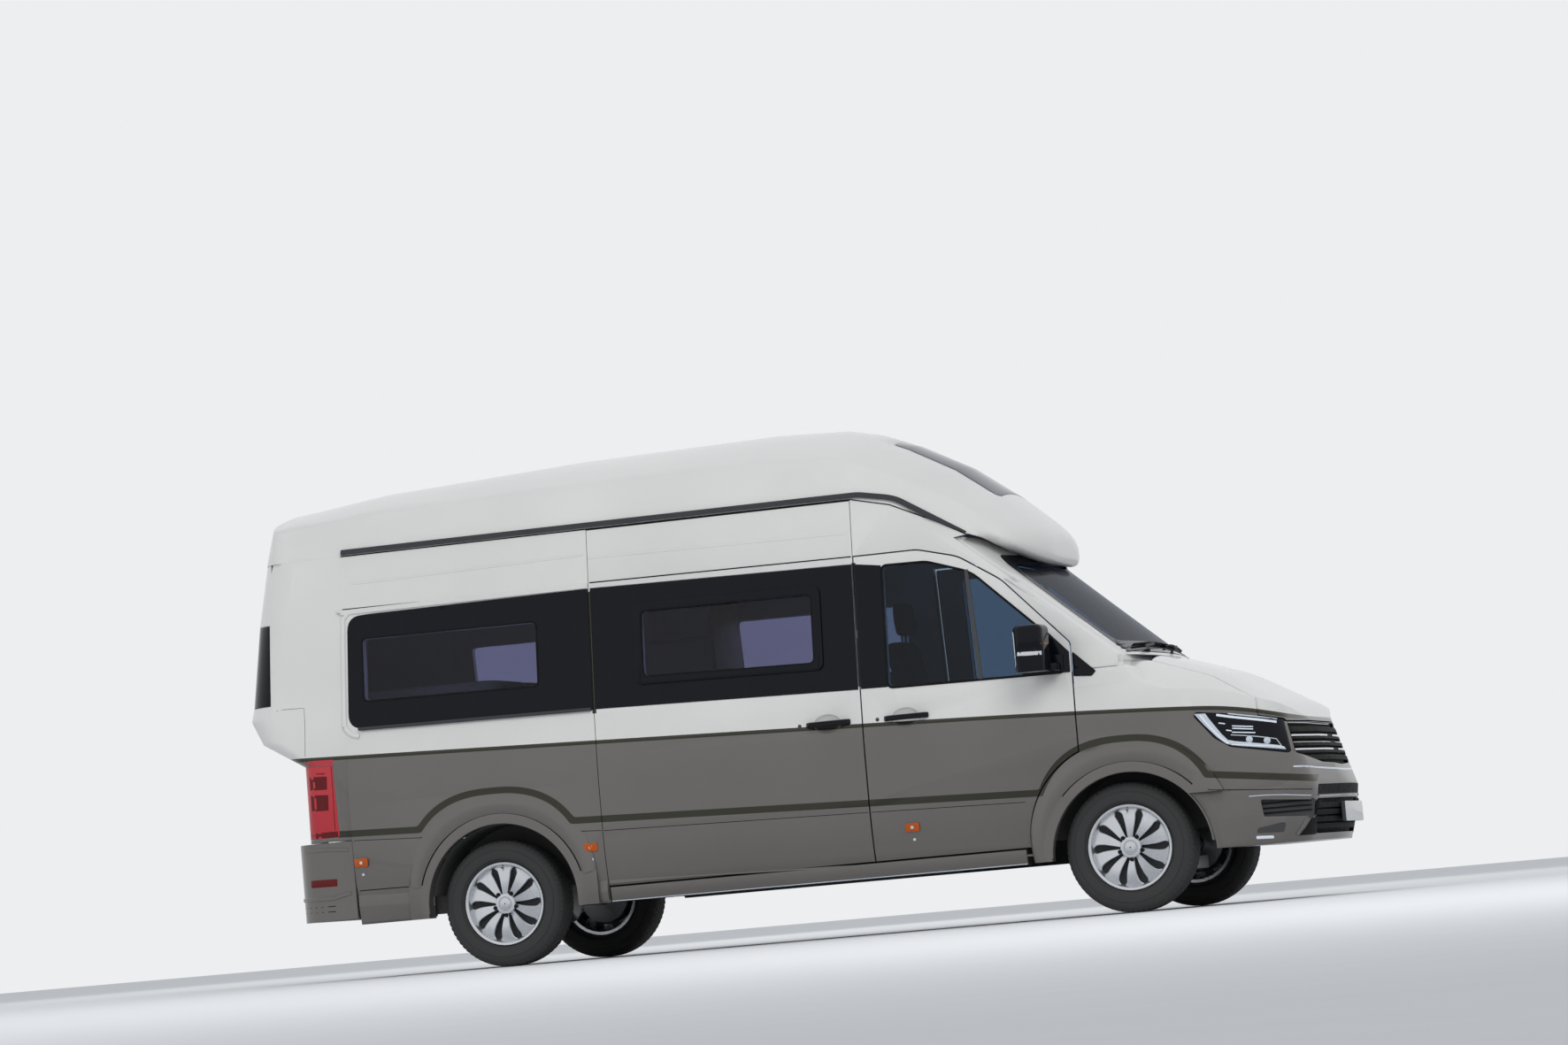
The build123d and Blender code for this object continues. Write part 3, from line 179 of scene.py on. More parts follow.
@dataclass(frozen=True)
class BodyPaint(Surface):
    """Sprayed two-coat car paint: off-white above, metallic warm grey below, two dark lines between.

    The clear coat gives a soft sheen over both; the aluminium flake under the grey (0.05 mm) is drawn as cells of
    0.6 mm, coarse enough to show.

    Attributes:
        name: Material name.
        slot: Slot of the record; not used.
        lines: Named formulas over x, y and z, each a math operation with its operands; line is the height over the
        pinstripe, ledge the height over the lower band; round the flares that band is partly painted shadow of their
        edge, and jambs darkens the door edges in the window band as painted shade in the gaps.
    """

    name: str = "coachwork"
    slot: str = "body_paint"
    lines: tuple = (
        ("s", ("SUBTRACT", "x", FRONT_X)),
        ("bend", ("POWER", ("MAXIMUM", ("ADD", "s", 1.0), 0.0), 2.0)),
        ("nose", ("POWER", ("MAXIMUM", ("SUBTRACT", "s", 0.45), 0.0), 2.0)),
        ("level", ("ADD", ("ADD", ("ADD", ("MULTIPLY", "s", -0.0352), ("MULTIPLY", "bend", -0.0077)),
                           ("MULTIPLY", "nose", -0.27)), 1.1078)),
        ("line", ("SUBTRACT", "z", "level")),
        ("lower", ("LESS_THAN", "line", 0.0)),
        ("doors", ("SUBTRACT", "z", ("ADD", ("MULTIPLY", "s", -0.0335), 0.680))),
        ("bumper", ("SUBTRACT", "z", ("ADD", ("MULTIPLY", "s", -0.125), 0.771))),
        ("ledge", ("ADD", "doors", ("MULTIPLY", ("SUBTRACT", "bumper", "doors"), ("GREATER_THAN", "s", 0.2)))),
        # Round the wheels the lower band follows the flare edge: part stripe, part painted shadow of that edge.
        *(("ledge", ("SMOOTH_MIN", "ledge", ("SUBTRACT", ("POWER", (
            "ADD", ("MULTIPLY", ("POWER", ("ABSOLUTE", ("SUBTRACT", "x", centre)), 2.5), 1.13 ** 2.5),
            ("POWER", ("MAXIMUM", ("SUBTRACT", "z", WHEEL_Z), 0.001), 2.5)), 0.4), radius), 0.02))
          for centre, radius in ((REAR_X + 0.003, 0.640), (FRONT_X + 0.018, 0.592))),
        ("second", ("MULTIPLY", ("COMPARE", "ledge", 0.0, 0.019), ("COMPARE", "s", -1.7895, 2.7935))),
        # The door edges inside the window band are painted dark: painted shade in the door gaps.
        ("jambs", ("MULTIPLY", ("MAXIMUM", ("COMPARE", "s", -1.427, 0.012), ("COMPARE", "s", -2.990, 0.012)),
                   ("COMPARE", "z", 1.7215, 0.3465))),
        ("dark", ("MAXIMUM", ("MAXIMUM", ("COMPARE", "line", 0.0, 0.011), "second"), "jambs")),
    )

    def dress(self, tree: bpy.types.NodeTree, place: bpy.types.NodeSocket) -> None:
        """Lays the colours by the formulas, then flake, drift and clear coat."""
        split = node(tree, "ShaderNodeSeparateXYZ", (place,)).node
        values = dict(zip("xyz", split.outputs))

        def solve(part: Any) -> Any:
            """Socket or number of one part of a formula."""
            if isinstance(part, tuple):
                return node(tree, "ShaderNodeMath", [solve(p) for p in part[1:]], operation=part[0])
            return values[part] if isinstance(part, str) else part

        for name, formula in self.lines:
            values[name] = solve(formula)
        for name, cells, detail, span in (("flake", 1800.0, 2.0, (0.35, 0.65, 0.94, 1.06)),
                                          ("drift", 1.5, 3.0, (0.3, 0.7, 0.97, 1.03))):
            cloud = node(tree, "ShaderNodeTexNoise", {"Vector": place, "Scale": cells, "Detail": detail})
            values[name] = node(tree, "ShaderNodeMapRange", (cloud, *span))
        base = linear(WHITE)
        for mask, colour in (("lower", TAUPE), ("dark", OLIVE)):
            base = node(tree, "ShaderNodeMix", {0: values[mask], 6: base, 7: linear(colour)}, 2, data_type="RGBA")
        base = node(tree, "ShaderNodeHueSaturation", {"Color": base, "Value": solve(("MULTIPLY", "flake", "drift"))})
        feed(tree.nodes["Principled BSDF"], {
            "Base Color": base, "Metallic": solve(("MULTIPLY", "lower", 0.55)),
            "Roughness": node(tree, "ShaderNodeMapRange", (values["lower"], 0.0, 1.0, 0.34, 0.36)),
            "Coat Weight": 0.5, "Coat Roughness": 0.03, "Specular IOR Level": 0.3})


@dataclass(frozen=True)
class Glazing(Surface):
    """Float or moulded glass: it shows what is behind it, darkened, and mirrors more at a shallow view.

    Attributes:
        name: Material name.
        tint: Colour of what shows through.
        gloss: Share that mirrors straight on.
        slot: Slot of the record; not used.
    """

    name: str
    tint: str
    gloss: float = 0.08
    slot: str = "tinted_glass"

    def dress(self, tree: bpy.types.NodeTree, place: bpy.types.NodeSocket) -> None:
        """Mixes a clear and a mirroring shader by the angle of view."""
        drift = node(tree, "ShaderNodeTexNoise", {"Vector": place, "Scale": 0.8, "Detail": 3.0})
        tint = node(tree, "ShaderNodeMix", {0: node(tree, "ShaderNodeMapRange", (drift, 0.3, 0.7)),
                                            6: linear(self.tint, 0.95), 7: linear(self.tint)}, 2, data_type="RGBA")
        edge = node(tree, "ShaderNodeLayerWeight", {"Blend": 0.25}, "Facing")
        steep = node(tree, "ShaderNodeMath", (edge, 2.5), operation="POWER")
        both = node(tree, "ShaderNodeMixShader", (
            node(tree, "ShaderNodeMapRange", (steep, 0.0, 1.0, self.gloss, 0.5)),
            node(tree, "ShaderNodeBsdfTransparent", (tint,)),
            node(tree, "ShaderNodeBsdfGlossy", {"Roughness": 0.02})))
        feed(tree.nodes["Material Output"], {"Surface": both})
        tree.nodes.remove(tree.nodes["Principled BSDF"])


@dataclass(frozen=True)
class PaleFloor(Surface):
    """Matt painted studio floor, near white and almost even."""

    name: str = "floor_pale"
    slot: str = ""

    def dress(self, tree: bpy.types.NodeTree, place: bpy.types.NodeSocket) -> None:
        """Adds a faint cloud of 250 mm."""
        cloud = node(tree, "ShaderNodeTexNoise", {"Vector": place, "Scale": 4.0, "Detail": 3.0})
        tone = node(tree, "ShaderNodeMix", {0: node(tree, "ShaderNodeMapRange", (cloud, 0.3, 0.7)),
                                            6: linear("#DEDFE0"), 7: linear("#E0E1E2")}, 2, data_type="RGBA")
        feed(tree.nodes["Principled BSDF"], {"Base Color": tone, "Roughness": 0.9})


PAINT = BodyPaint()
# The roof is glass-fibre laminate with the same sprayed paint: smooth and even
ROOF = BodyPaint("roof_moulding", "roof_finish")
# Polished black acrylic: deep and smooth, a weak clean mirror
BLACK_GLOSS = Finish("black_gloss", "#0B0D14", 0.10, vary=0.1, slot="dark_gloss", shine=0.18)
# Moulded polypropylene with a 1.1 mm leather grain: dull and dark. The same finish also draws a patch of
# painted shade in the low recess of each bumper corner
BLACK = Finish("black_plastic", "#15161A", 0.55, vary=0.12, bump=0.2, shine=0.25)
# Extruded rubber profile: black, with hardly any sheen. The same black also draws painted shadow in the step
# over each wheel opening and under the step low on the tail's flanks
RUBBER_AND_SHADOW = Finish("seal_rubber", "#0C0C0D", 0.7, vary=0.15, bump=0.1, shine=0.2)
# Vulcanised tyre tread rubber with 1.4 mm pits: warm black, matt
TYRE = Finish("tyre_rubber", "#1B1A1A", 0.82, vary=0.14, scale=14, bump=0.35, grain=700, slot="tyre_rubber", shine=0.3)
# Cast aluminium, painted silver and lacquered: bright with soft mirrors. The dark disc behind the blades is
# painted shade seen through the openings between them
ALLOY = Finish("alloy_silver", "#CDD0D4", 0.28, metal=0.85, coat=0.6, vary=0.03, slot="wheel_alloy")
PAINTED_GAP_SHADE = Finish("alloy_dark", "#202226", 0.45, metal=0.4, vary=0.1, slot="wheel_alloy")
# Chrome on moulded plastic: a clear bright mirror
CHROME = Finish("bright_trim", "#D2D5D9", 0.12, metal=1.0, vary=0.02, slot="rail_aluminium")
# Pressed steel, dipped and painted black, dusty: clouds of 110 mm
STEEL = Finish("chassis_steel", "#2A2B2D", 0.55, metal=0.6, vary=0.18, scale=9, bump=0.15, slot="chassis_steel")
# Turned grey cast iron, swept by the pads: grey with a low mirror
DISC = Finish("brake_disc", "#77797B", 0.4, metal=0.9, vary=0.08, scale=40, slot="chassis_steel")
# Aluminised steel tube, heat-stained brown in clouds
EXHAUST = Finish("exhaust_steel", "#6C6860", 0.45, metal=0.8, vary=0.2, slot="exhaust_steel")
# Sprayed wax underseal with 4 mm drops: rough and black
UNDER = Finish("underseal", "#1C1D1F", 0.8, vary=0.2, bump=0.5, grain=250, slot="floor_paint")
# Sand-cast aluminium, 3.3 mm grain: dull grey
ENGINE = Finish("engine_cast", "#3A3B3D", 0.6, metal=0.5, vary=0.2, bump=0.4, grain=300, slot="engine_cast")
# Woven polyester, threads of 0.7 mm: matt with a fine relief
CLOTH = Finish("seat_cloth", "#4B4C50", 0.9, vary=0.12, scale=60, bump=0.6, grain=1400, slot="seat_fabric")
# Moulded ABS with a 1.1 mm grain: matt dark grey
CABIN = Finish("cabin_plastic", "#202124", 0.6, vary=0.08, bump=0.3, slot="cabin_plastic")
# Foil-faced lightweight plywood: pale and dull
LINING = Finish("wall_lining", "#B9B4AA", 0.8, vary=0.04, bump=0.2, slot="roof_finish")
# Oak-look printed foil, lacquered: tones wander over 250 mm
WOOD = Finish("cabinet_veneer", "#A58E6F", 0.45, vary=0.16, scale=4, slot="cabinet_wood")
# High-pressure laminate: dark with a satin sheen
WORKTOP = Finish("worktop", "#3C3A38", 0.35, vary=0.12, scale=30, slot="cabinet_wood")
# Anodised aluminium extrusion: dark satin metal
RAIL = Finish("anodised_rail", "#3E4043", 0.35, metal=0.7, vary=0.06, slot="rail_aluminium")
# Laminated glass of the screen, cast acrylic of the living panes, tempered glass of the doors: clear, darkened by tint
SCREEN = Glazing("clear_screen", "#8CA3BA", 0.02, "clear_glass")
PANE = Glazing("side_pane", "#CACBDA", 0.02)
CAB_PANE = Glazing("cab_pane", "#B5C3D0", 0.02)
# Injection-moulded acrylic lenses: saturated and smooth
RED = Finish("red_lens", "#960C16", 0.16, vary=0.08, slot="red_lens", shine=0.3)
RED_DARK = Finish("red_dark", "#5E0C12", 0.2, vary=0.1, slot="red_lens", shine=0.25)
AMBER = Finish("amber_lens", "#B4520F", 0.2, vary=0.1, slot="red_lens", shine=0.3)
# Vacuum-metallised reflector: silver with a smooth mirror; the unlit light guide beside it is milky acrylic.
# The silver also draws a painted highlight along the nose's crease at the grille's foot
SILVER = Finish("lamp_silver", "#C9D2DC", 0.16, metal=0.7, coat=0.5, vary=0.03, slot="lamp_lens")
LIGHT = Finish("lamp_bar", "#E4ECF4", 0.2, coat=1.0, vary=0.02, slot="lamp_lens")
# Tinted cast acrylic over a dark blind: nearly black, mirrors the sky a little
ROOF_PANE = Finish("roof_pane", "#1B2A3C", 0.06, vary=0.06, slot="dark_gloss", shine=0.3)
# Silvered glass: a bright, exact mirror
MIRROR_GLASS = Finish("mirror_glass", "#C4CBD0", 0.04, metal=1.0, vary=0.02, slot="clear_glass")
# Cotton drill ticking, 1.1 mm weave: soft and matt
BEDDING = Finish("bed_ticking", "#8F8C88", 0.9, vary=0.08, scale=40, bump=0.5, grain=900, slot="seat_fabric")
# Reflective film on sheet aluminium, left blank: pale, with a satin sheen
PLATE = Finish("blank_plate", "#C9CACB", 0.4, coat=0.4, vary=0.02, slot="lamp_lens")


def merged(mesh: bpy.types.Mesh) -> bmesh.types.BMesh:
    """Editable copy of a mesh with its doubles merged."""
    work = bmesh.new()
    work.from_mesh(mesh)
    bmesh.ops.remove_doubles(work, verts=work.verts, dist=MERGE)
    return work


def settle(mesh: bpy.types.Mesh, name: str, finish: Surface, body: str = "body", bevel: float = 0.0,
           angle: float = 35.0, replaces: Sequence[str] = ()) -> bpy.types.Object:
    """Cleans a mesh and makes it a piece riding on a body.

    Args:
        mesh: The mesh, used up.
        name: Piece name.
        finish: Its finish.
        body: CAD body it rides on.
        bevel: Width of the rounded edges, none if 0.
        angle: Edges sharper than this stay sharp, in degrees.
        replaces: CAD nodes it stands for.

    Returns:
        The finished object.
    """
    work = merged(mesh)
    bmesh.ops.dissolve_degenerate(work, edges=work.edges, dist=MERGE / 2)
    if bevel:
        bmesh.ops.dissolve_limit(work, angle_limit=math.radians(0.08), verts=work.verts, edges=work.edges)
        sharp = [e for e in work.edges if len(e.link_faces) == 2 and e.calc_face_angle(0) > math.radians(angle)]
        bmesh.ops.bevel(work, geom=sharp, offset=bevel, segments=2, profile=0.5, affect="EDGES", clamp_overlap=True)
    bmesh.ops.recalc_face_normals(work, faces=work.faces)
    work.to_mesh(mesh)
    work.free()
    mesh.shade_smooth()
    mesh.set_sharp_from_angle(angle=math.radians(angle))
    mesh.materials.clear()
    mesh.materials.append(finish.build())
    obj = bpy.data.objects.new(name, mesh)
    bpy.context.scene.collection.objects.link(obj)
    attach(obj, body)
    if replaces:
        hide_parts(*replaces)
    log.info("piece %s: %d faces", name, len(mesh.polygons))
    return obj


def make(name: str, finish: Surface, *shapes: Shape, **settings: Any) -> bpy.types.Object:
    """Makes one piece of several shapes; settings as for settle()."""
    vertices, faces = [], []
    for points, polygons in shapes:
        start = len(vertices)
        vertices += [tuple(map(float, p)) for p in points]
        faces += [tuple(start + i for i in f) for f in polygons]
    mesh = bpy.data.meshes.new(name)
    mesh.from_pydata(vertices, [], faces)
    return settle(mesh, name, finish, **settings)


def skin(part: str, finish: Surface, body: str = "body", bevel: float = 0.002, angle: float = 32.0,
         mesh: Optional[bpy.types.Mesh] = None) -> bpy.types.Object:
    """Smooth copy of a CAD node with softened edges, standing for it."""
    return settle(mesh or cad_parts[part].data.copy(), part + "_skin", finish, body, bevel, angle, (part,))


def softened(mesh: bpy.types.Mesh, start: float, whole: float, heart: Vector, spread: float = 2.0) -> bpy.types.Mesh:
    """Rounds the form ahead of a station, easing in from start to whole.

    The distances from a point inside to the outer surface are taken over a grid of directions, smoothed
    there, and given back to the vertices.

    Args:
        mesh: Closed mesh.
        start: Place along the car where the rounding begins.
        whole: Place from where it works in full.
        heart: Point inside the form.
        spread: Reach of the smoothing, in steps of the grid of directions.

    Returns:
        The same mesh, rounded.
    """
    reach, longest, shell = 8, 0.030, 0.018
    rows, columns, step = 60, 90, math.radians(1.5)
    work = merged(mesh)
    tree = BVHTree.FromBMesh(work)
    raw = np.zeros((2 * rows + 1, 2 * columns + 1))
    for i, j in np.ndindex(raw.shape):
        up, turn = (i - rows) * step, (j - columns) * step
        way = Vector((math.cos(up) * math.cos(turn), math.cos(up) * math.sin(turn), math.sin(up)))
        hit = tree.ray_cast(heart + way * 4.0, -way)[0]
        raw[i, j] = (hit - heart).length if hit else raw[i, j - 1]
    bell = np.exp(-0.5 * (np.arange(-reach, reach + 1) / spread) ** 2)
    bell /= bell.sum()
    calm = raw
    for axis in (1, 0):
        calm = np.apply_along_axis(lambda row: np.convolve(np.pad(row, reach, "edge"), bell, "valid"), axis, calm)
    for _ in range(7):
        long = [e for e in work.edges if e.calc_length() > longest and max(v.co.x for v in e.verts) > start]
        if not long:
            break
        bmesh.ops.subdivide_edges(work, edges=long, cuts=1)
        bmesh.ops.triangulate(work, faces=[f for f in work.faces if len(f.verts) > 3])
    for vert in work.verts:
        if vert.co.x > start:
            ray = vert.co - heart
            far = ray.length
            i = min(max(math.asin(ray.z / far) / step + rows, 0), 2 * rows - 0.01)
            j = min(max(math.atan2(ray.y, ray.x) / step + columns, 0), 2 * columns - 0.01)
            m, n, u, v = int(i), int(j), i % 1, j % 1
            old, new = ((np.array((1 - u, u)) @ grid[m:m + 2, n:n + 2] @ np.array((1 - v, v))) for grid in (raw, calm))
            goal = new if far > old - shell else far * new / old
            vert.co = heart + ray * float((far + (goal - far) * ease((vert.co.x - start) / (whole - start))) / far)
    work.to_mesh(mesh)
    work.free()
    return mesh


def hollowed(mesh: bpy.types.Mesh, centres: Sequence[Vector], half: Vector) -> bpy.types.Mesh:
    """Cuts smooth oval hollows into a closed mesh.

    Args:
        mesh: Closed mesh, its triangles loose or merged.
        centres: Middle of each hollow.
        half: Half sizes of the oval.

    Returns:
        The cut mesh.
    """
    work = merged(mesh)
    work.to_mesh(mesh)
    work.free()
    made = [bpy.data.objects.new("panel", mesh)]
    for centre in centres:
        work = bmesh.new()
        bmesh.ops.create_uvsphere(work, u_segments=48, v_segments=28, radius=1.0)
        bmesh.ops.scale(work, vec=half, verts=work.verts)
        bmesh.ops.translate(work, vec=centre, verts=work.verts)
        form = bpy.data.meshes.new("hollow")
        work.to_mesh(form)
        work.free()
        made.append(bpy.data.objects.new("hollow", form))
        cut = made[0].modifiers.new("hollow", "BOOLEAN")
        cut.operation, cut.solver, cut.object = "DIFFERENCE", "EXACT", made[-1]
    for obj in made:
        bpy.context.scene.collection.objects.link(obj)
    ready = bpy.data.meshes.new_from_object(made[0].evaluated_get(bpy.context.evaluated_depsgraph_get()))
    for obj in made:
        bpy.data.objects.remove(obj)
    return ready


def lofted(rows: Sequence[Sequence[Sequence[float]]], closed: bool = False) -> Shape:
    """Surface through closed sections with equal counts of points.

    Args:
        rows: The sections.
        closed: Whether the last section joins the first; if not, both ends are capped.

    Returns:
        Vertices and faces.
    """
    n, count = len(rows), len(rows[0])
    faces = [(i * count + j, i * count + (j + 1) % count, (i + 1) % n * count + (j + 1) % count,
              (i + 1) % n * count + j) for i in range(n if closed else n - 1) for j in range(count)]
    if not closed:
        faces += [tuple(range(count)), tuple((n - 1) * count + j for j in reversed(range(count)))]
    return [p for row in rows for p in row], faces


def lathe(profile: Points, steps: int, centre: Vector, turn: float = 1.0) -> Shape:
    """Closed ring surface about an axis along Y.

    Args:
        profile: Radius and Y offset of each point, closed.
        steps: Divisions round the axis.
        centre: Point on the axis.
        turn: 1 or -1 to mirror the Y offsets.

    Returns:
        Vertices and faces.
    """
    angles = [2 * math.pi * k / steps for k in range(steps)]
    return lofted([[(centre.x + r * math.sin(a), centre.y + turn * y, centre.z + r * math.cos(a)) for r, y in profile]
                   for a in angles], True)


def box(low: Sequence[float], high: Sequence[float]) -> Shape:
    """Corner block between two points, its edges rounded later."""
    (a, b, c), (d, e, f) = low, high
    verts = [(a, b, c), (d, b, c), (d, e, c), (a, e, c), (a, b, f), (d, b, f), (d, e, f), (a, e, f)]
    return verts, [(0, 3, 2, 1), (4, 5, 6, 7), (0, 1, 5, 4), (1, 2, 6, 5), (2, 3, 7, 6), (3, 0, 4, 7)]


def moved(shape: Shape, offset: Sequence[float]) -> Shape:
    """The shape moved by an offset."""
    x, y, z = offset
    return [(a + x, b + y, c + z) for a, b, c in shape[0]], shape[1]


def sweep(path: Sequence[Sequence[float]], section: Points, normal: Callable[[Vector], Vector] | Sequence[float],
          closed: bool = False) -> Shape:
    """Runs a closed section along a path.

    Args:
        path: Points of the path.
        section: Offsets across and along the normal.
        normal: Direction the section's second offset follows.
        closed: Whether the path closes on itself.

    Returns:
        Vertices and faces.
    """
    points = [Vector(p) for p in path]
    n, rows = len(points), []
    for i, p in enumerate(points):
        before = points[i - 1] if i or closed else p
        after = points[(i + 1) % n] if i < n - 1 or closed else p
        along = (after - before).normalized()
        up = (normal(p) if callable(normal) else Vector(normal)).normalized()
        across = along.cross(up).normalized()
        up = across.cross(along).normalized()
        rows.append([tuple(p + across * u + up * v) for u, v in section])
    return lofted(rows, closed)


def rounded_bar(width: float, height: float) -> Points:
    """Section of a flat bar with broken upper corners."""
    w, h, c = width / 2, height, min(width, height) * 0.35
    return [(-w, 0), (w, 0), (w, h - c), (w - c, h), (-w + c, h), (-w, h - c)]


def side_half() -> np.ndarray:
    """Heights and half widths of the body side, its corners drawn as soft bends."""
    knots = np.array([(0.310, 0.955, 0), (0.600, 1.003, 0.148), (1.060, 1.003, 0.066), (1.415, 0.977, 0.041),
                      (2.425, 0.857, 0), (2.70, 0.8243, 0)])
    rows = [(0.2, 0.955 - 0.11 * 48 / 290)]
    for before, here, after in zip(knots, knots[1:], knots[2:]):
        p = here[:2]
        a, b = (p + (q[:2] - p) / math.dist(q[:2], p) * here[2] for q in (before, after))
        rows += [tuple((1 - u) ** 2 * a + 2 * u * (1 - u) * p + u * u * b) for u in np.linspace(0, 1, 9)]
    table = np.array([*rows, (2.70, 0.8243)])
    return table[np.argsort(table[:, 0], kind="stable")].T


SIDE_Z, SIDE_Y = side_half()


def side_y(z: float) -> float:
    """Half width of the plain body side at a height."""
    return float(np.interp(z, SIDE_Z, SIDE_Y))


def on_side(x: float, z: float, side: int, out: float = 0.0) -> tuple[float, float, float]:
    """Point on the body side, moved outwards."""
    return x, side * (side_y(z) + out), z


def along_side(side: int, rows: Points, out: float, section: Points, closed: bool = False) -> Shape:
    """Section run along a line on the plain body side, upright on it."""
    def normal(p: Vector) -> Vector:
        """Outward direction of the body side at a point."""
        return Vector((0, side, -(side_y(p.z + 0.01) - side_y(p.z - 0.01)) / 0.02))

    return sweep([on_side(x, z, side, out) for x, z in rows], section, normal, closed)


def rounded(rows: Sequence[tuple[float, float, float]], steps: int = 6) -> Points:
    """Closed outline with rounded corners.

    Args:
        rows: U, V and radius of each corner.
        steps: Points on each rounded corner.

    Returns:
        The outline's points.
    """
    out: Points = []
    for i, (u, v, r) in enumerate(rows):
        if r <= 0:
            out.append((u, v))
            continue
        p = Vector((u, v))
        a, b = Vector(rows[i - 1][:2]) - p, Vector(rows[(i + 1) % len(rows)][:2]) - p
        t = min(r / math.tan(a.angle(b) / 2), a.length * 0.49, b.length * 0.49)
        start, end = p + a.normalized() * t, p + b.normalized() * t
        for w in (k / steps for k in range(steps + 1)):
            out.append(tuple(start * (1 - w) ** 2 + p * 2 * w * (1 - w) + end * w * w))
    return out


def block(u: float, v: float, half_u: float, half_v: float, radius: float) -> list[tuple[float, float, float]]:
    """Corners of a rectangle about a point, with their radius."""
    return [(u + a * half_u, v + b * half_v, radius) for a, b in ((-1, -1), (1, -1), (1, 1), (-1, 1))]


def stations(rows: Iterable[tuple[float, float]]) -> Points:
    """Turns rows of station and height into rows of X and height."""
    return [(FRONT_X + s, z) for s, z in rows]


def corners(rows: Iterable[tuple[float, float, float]], steps: int = 6) -> Points:
    """Rounded outline from stations, heights and radii."""
    return rounded([(FRONT_X + s, z, r) for s, z, r in rows], steps)


def grow(rows: Points, amount: float) -> Points:
    """Moves a closed outline outwards by amount."""
    n = len(rows)
    area = sum(rows[i][0] * rows[(i + 1) % n][1] - rows[(i + 1) % n][0] * rows[i][1] for i in range(n))
    sign = 1 if area > 0 else -1
    out = []
    for i in range(n):
        a, b, c = Vector(rows[i - 1]), Vector(rows[i]), Vector(rows[(i + 1) % n])
        e, f = b - a, c - b
        if min(e.length, f.length) < 1e-9:
            out.append(tuple(b))
            continue
        way = Vector((e.y, -e.x)).normalized() * sign + Vector((f.y, -f.x)).normalized() * sign
        out.append(tuple(b + way / max(way.length_squared / 2, 0.3) * amount))
    return out


def dense(loop: Points, step: float) -> Points:
    """Points along an open line, no further apart than about a step; the last point is left out."""
    out: Points = []
    for p, q in zip(loop, loop[1:]):
        parts = max(1, int(math.dist(p, q) / step))
        out += [(p[0] + (q[0] - p[0]) * k / parts, p[1] + (q[1] - p[1]) * k / parts) for k in range(parts)]
    return out


def curve(rows: Points, parts: int = 6) -> Points:
    """Smooth line through points."""
    out: Points = []
    for i in range(len(rows) - 1):
        p0, p1, p2, p3 = (np.array(rows[min(max(i + k, 0), len(rows) - 1)]) for k in (-1, 0, 1, 2))
        for t in (k / parts for k in range(parts)):
            q = 0.5 * (2 * p1 + (p2 - p0) * t + (2 * p0 - 5 * p1 + 4 * p2 - p3) * t * t
                       + (3 * p1 - p0 - 3 * p2 + p3) * t ** 3)
            out.append((float(q[0]), float(q[1])))
    return out + [tuple(rows[-1])]


def within(loop: Points, u: float, v: float) -> bool:
    """Whether a point lies inside a closed outline."""
    hit = False
    for (a, b), (c, d) in zip([loop[-1], *loop], loop):
        if (b > v) != (d > v) and u < (c - a) * (v - b) / (d - b) + a:
            hit = not hit
    return hit


def fill(outer: Points, holes: Sequence[Points], step: float) -> Shape:
    """Fills a flat outline with holes by triangles on a grid of points.

    Args:
        outer: Closed outline.
        holes: Closed outlines left open.
        step: Distance of the grid points.

    Returns:
        Points and triangles.
    """
    points: list = []
    edges: list = []
    for loop in (outer, *holes):
        ring = dense([*loop, loop[0]], step)
        edges += [(len(points) + i, len(points) + (i + 1) % len(ring)) for i in range(len(ring))]
        points += ring
    (low_u, low_v), (high_u, high_v) = np.min(outer, 0), np.max(outer, 0)
    fixed = np.array(points)
    for u in np.arange(low_u + step / 2, high_u, step):
        for v in np.arange(low_v + step / 2, high_v, step):
            if np.min(np.abs(fixed[:, 0] - u) + np.abs(fixed[:, 1] - v)) > step * 0.55:
                points.append((u, v))
    made = delaunay_2d_cdt([Vector(p) for p in points], edges, [], 0, 1e-6)
    kept = []
    for f in made[2]:
        u, v = (sum(made[0][i][k] for i in f) / len(f) for k in (0, 1))
        if within(outer, u, v) and not any(within(hole, u, v) for hole in holes):
            kept.append(tuple(f))
    return [tuple(v) for v in made[0]], kept


def slab(flat: Shape, front: Callable[[float, float], Sequence[float]],
         back: Callable[[float, float], Sequence[float]]) -> Shape:
    """Closed slab between two surfaces over the same flat triangles."""
    points, faces = flat
    n = len(points)
    rim = dict.fromkeys((f[i], f[(i + 1) % len(f)]) for f in faces for i in range(len(f)))
    walls = [(b, a, a + n, b + n) for a, b in rim if (b, a) not in rim]
    return ([front(u, v) for u, v in points] + [back(u, v) for u, v in points],
            faces + [tuple(i + n for i in reversed(f)) for f in faces] + walls)


class Layout(Enum):
    """How a repeat sets its copies."""

    RING = "ring"
    ROW = "row"


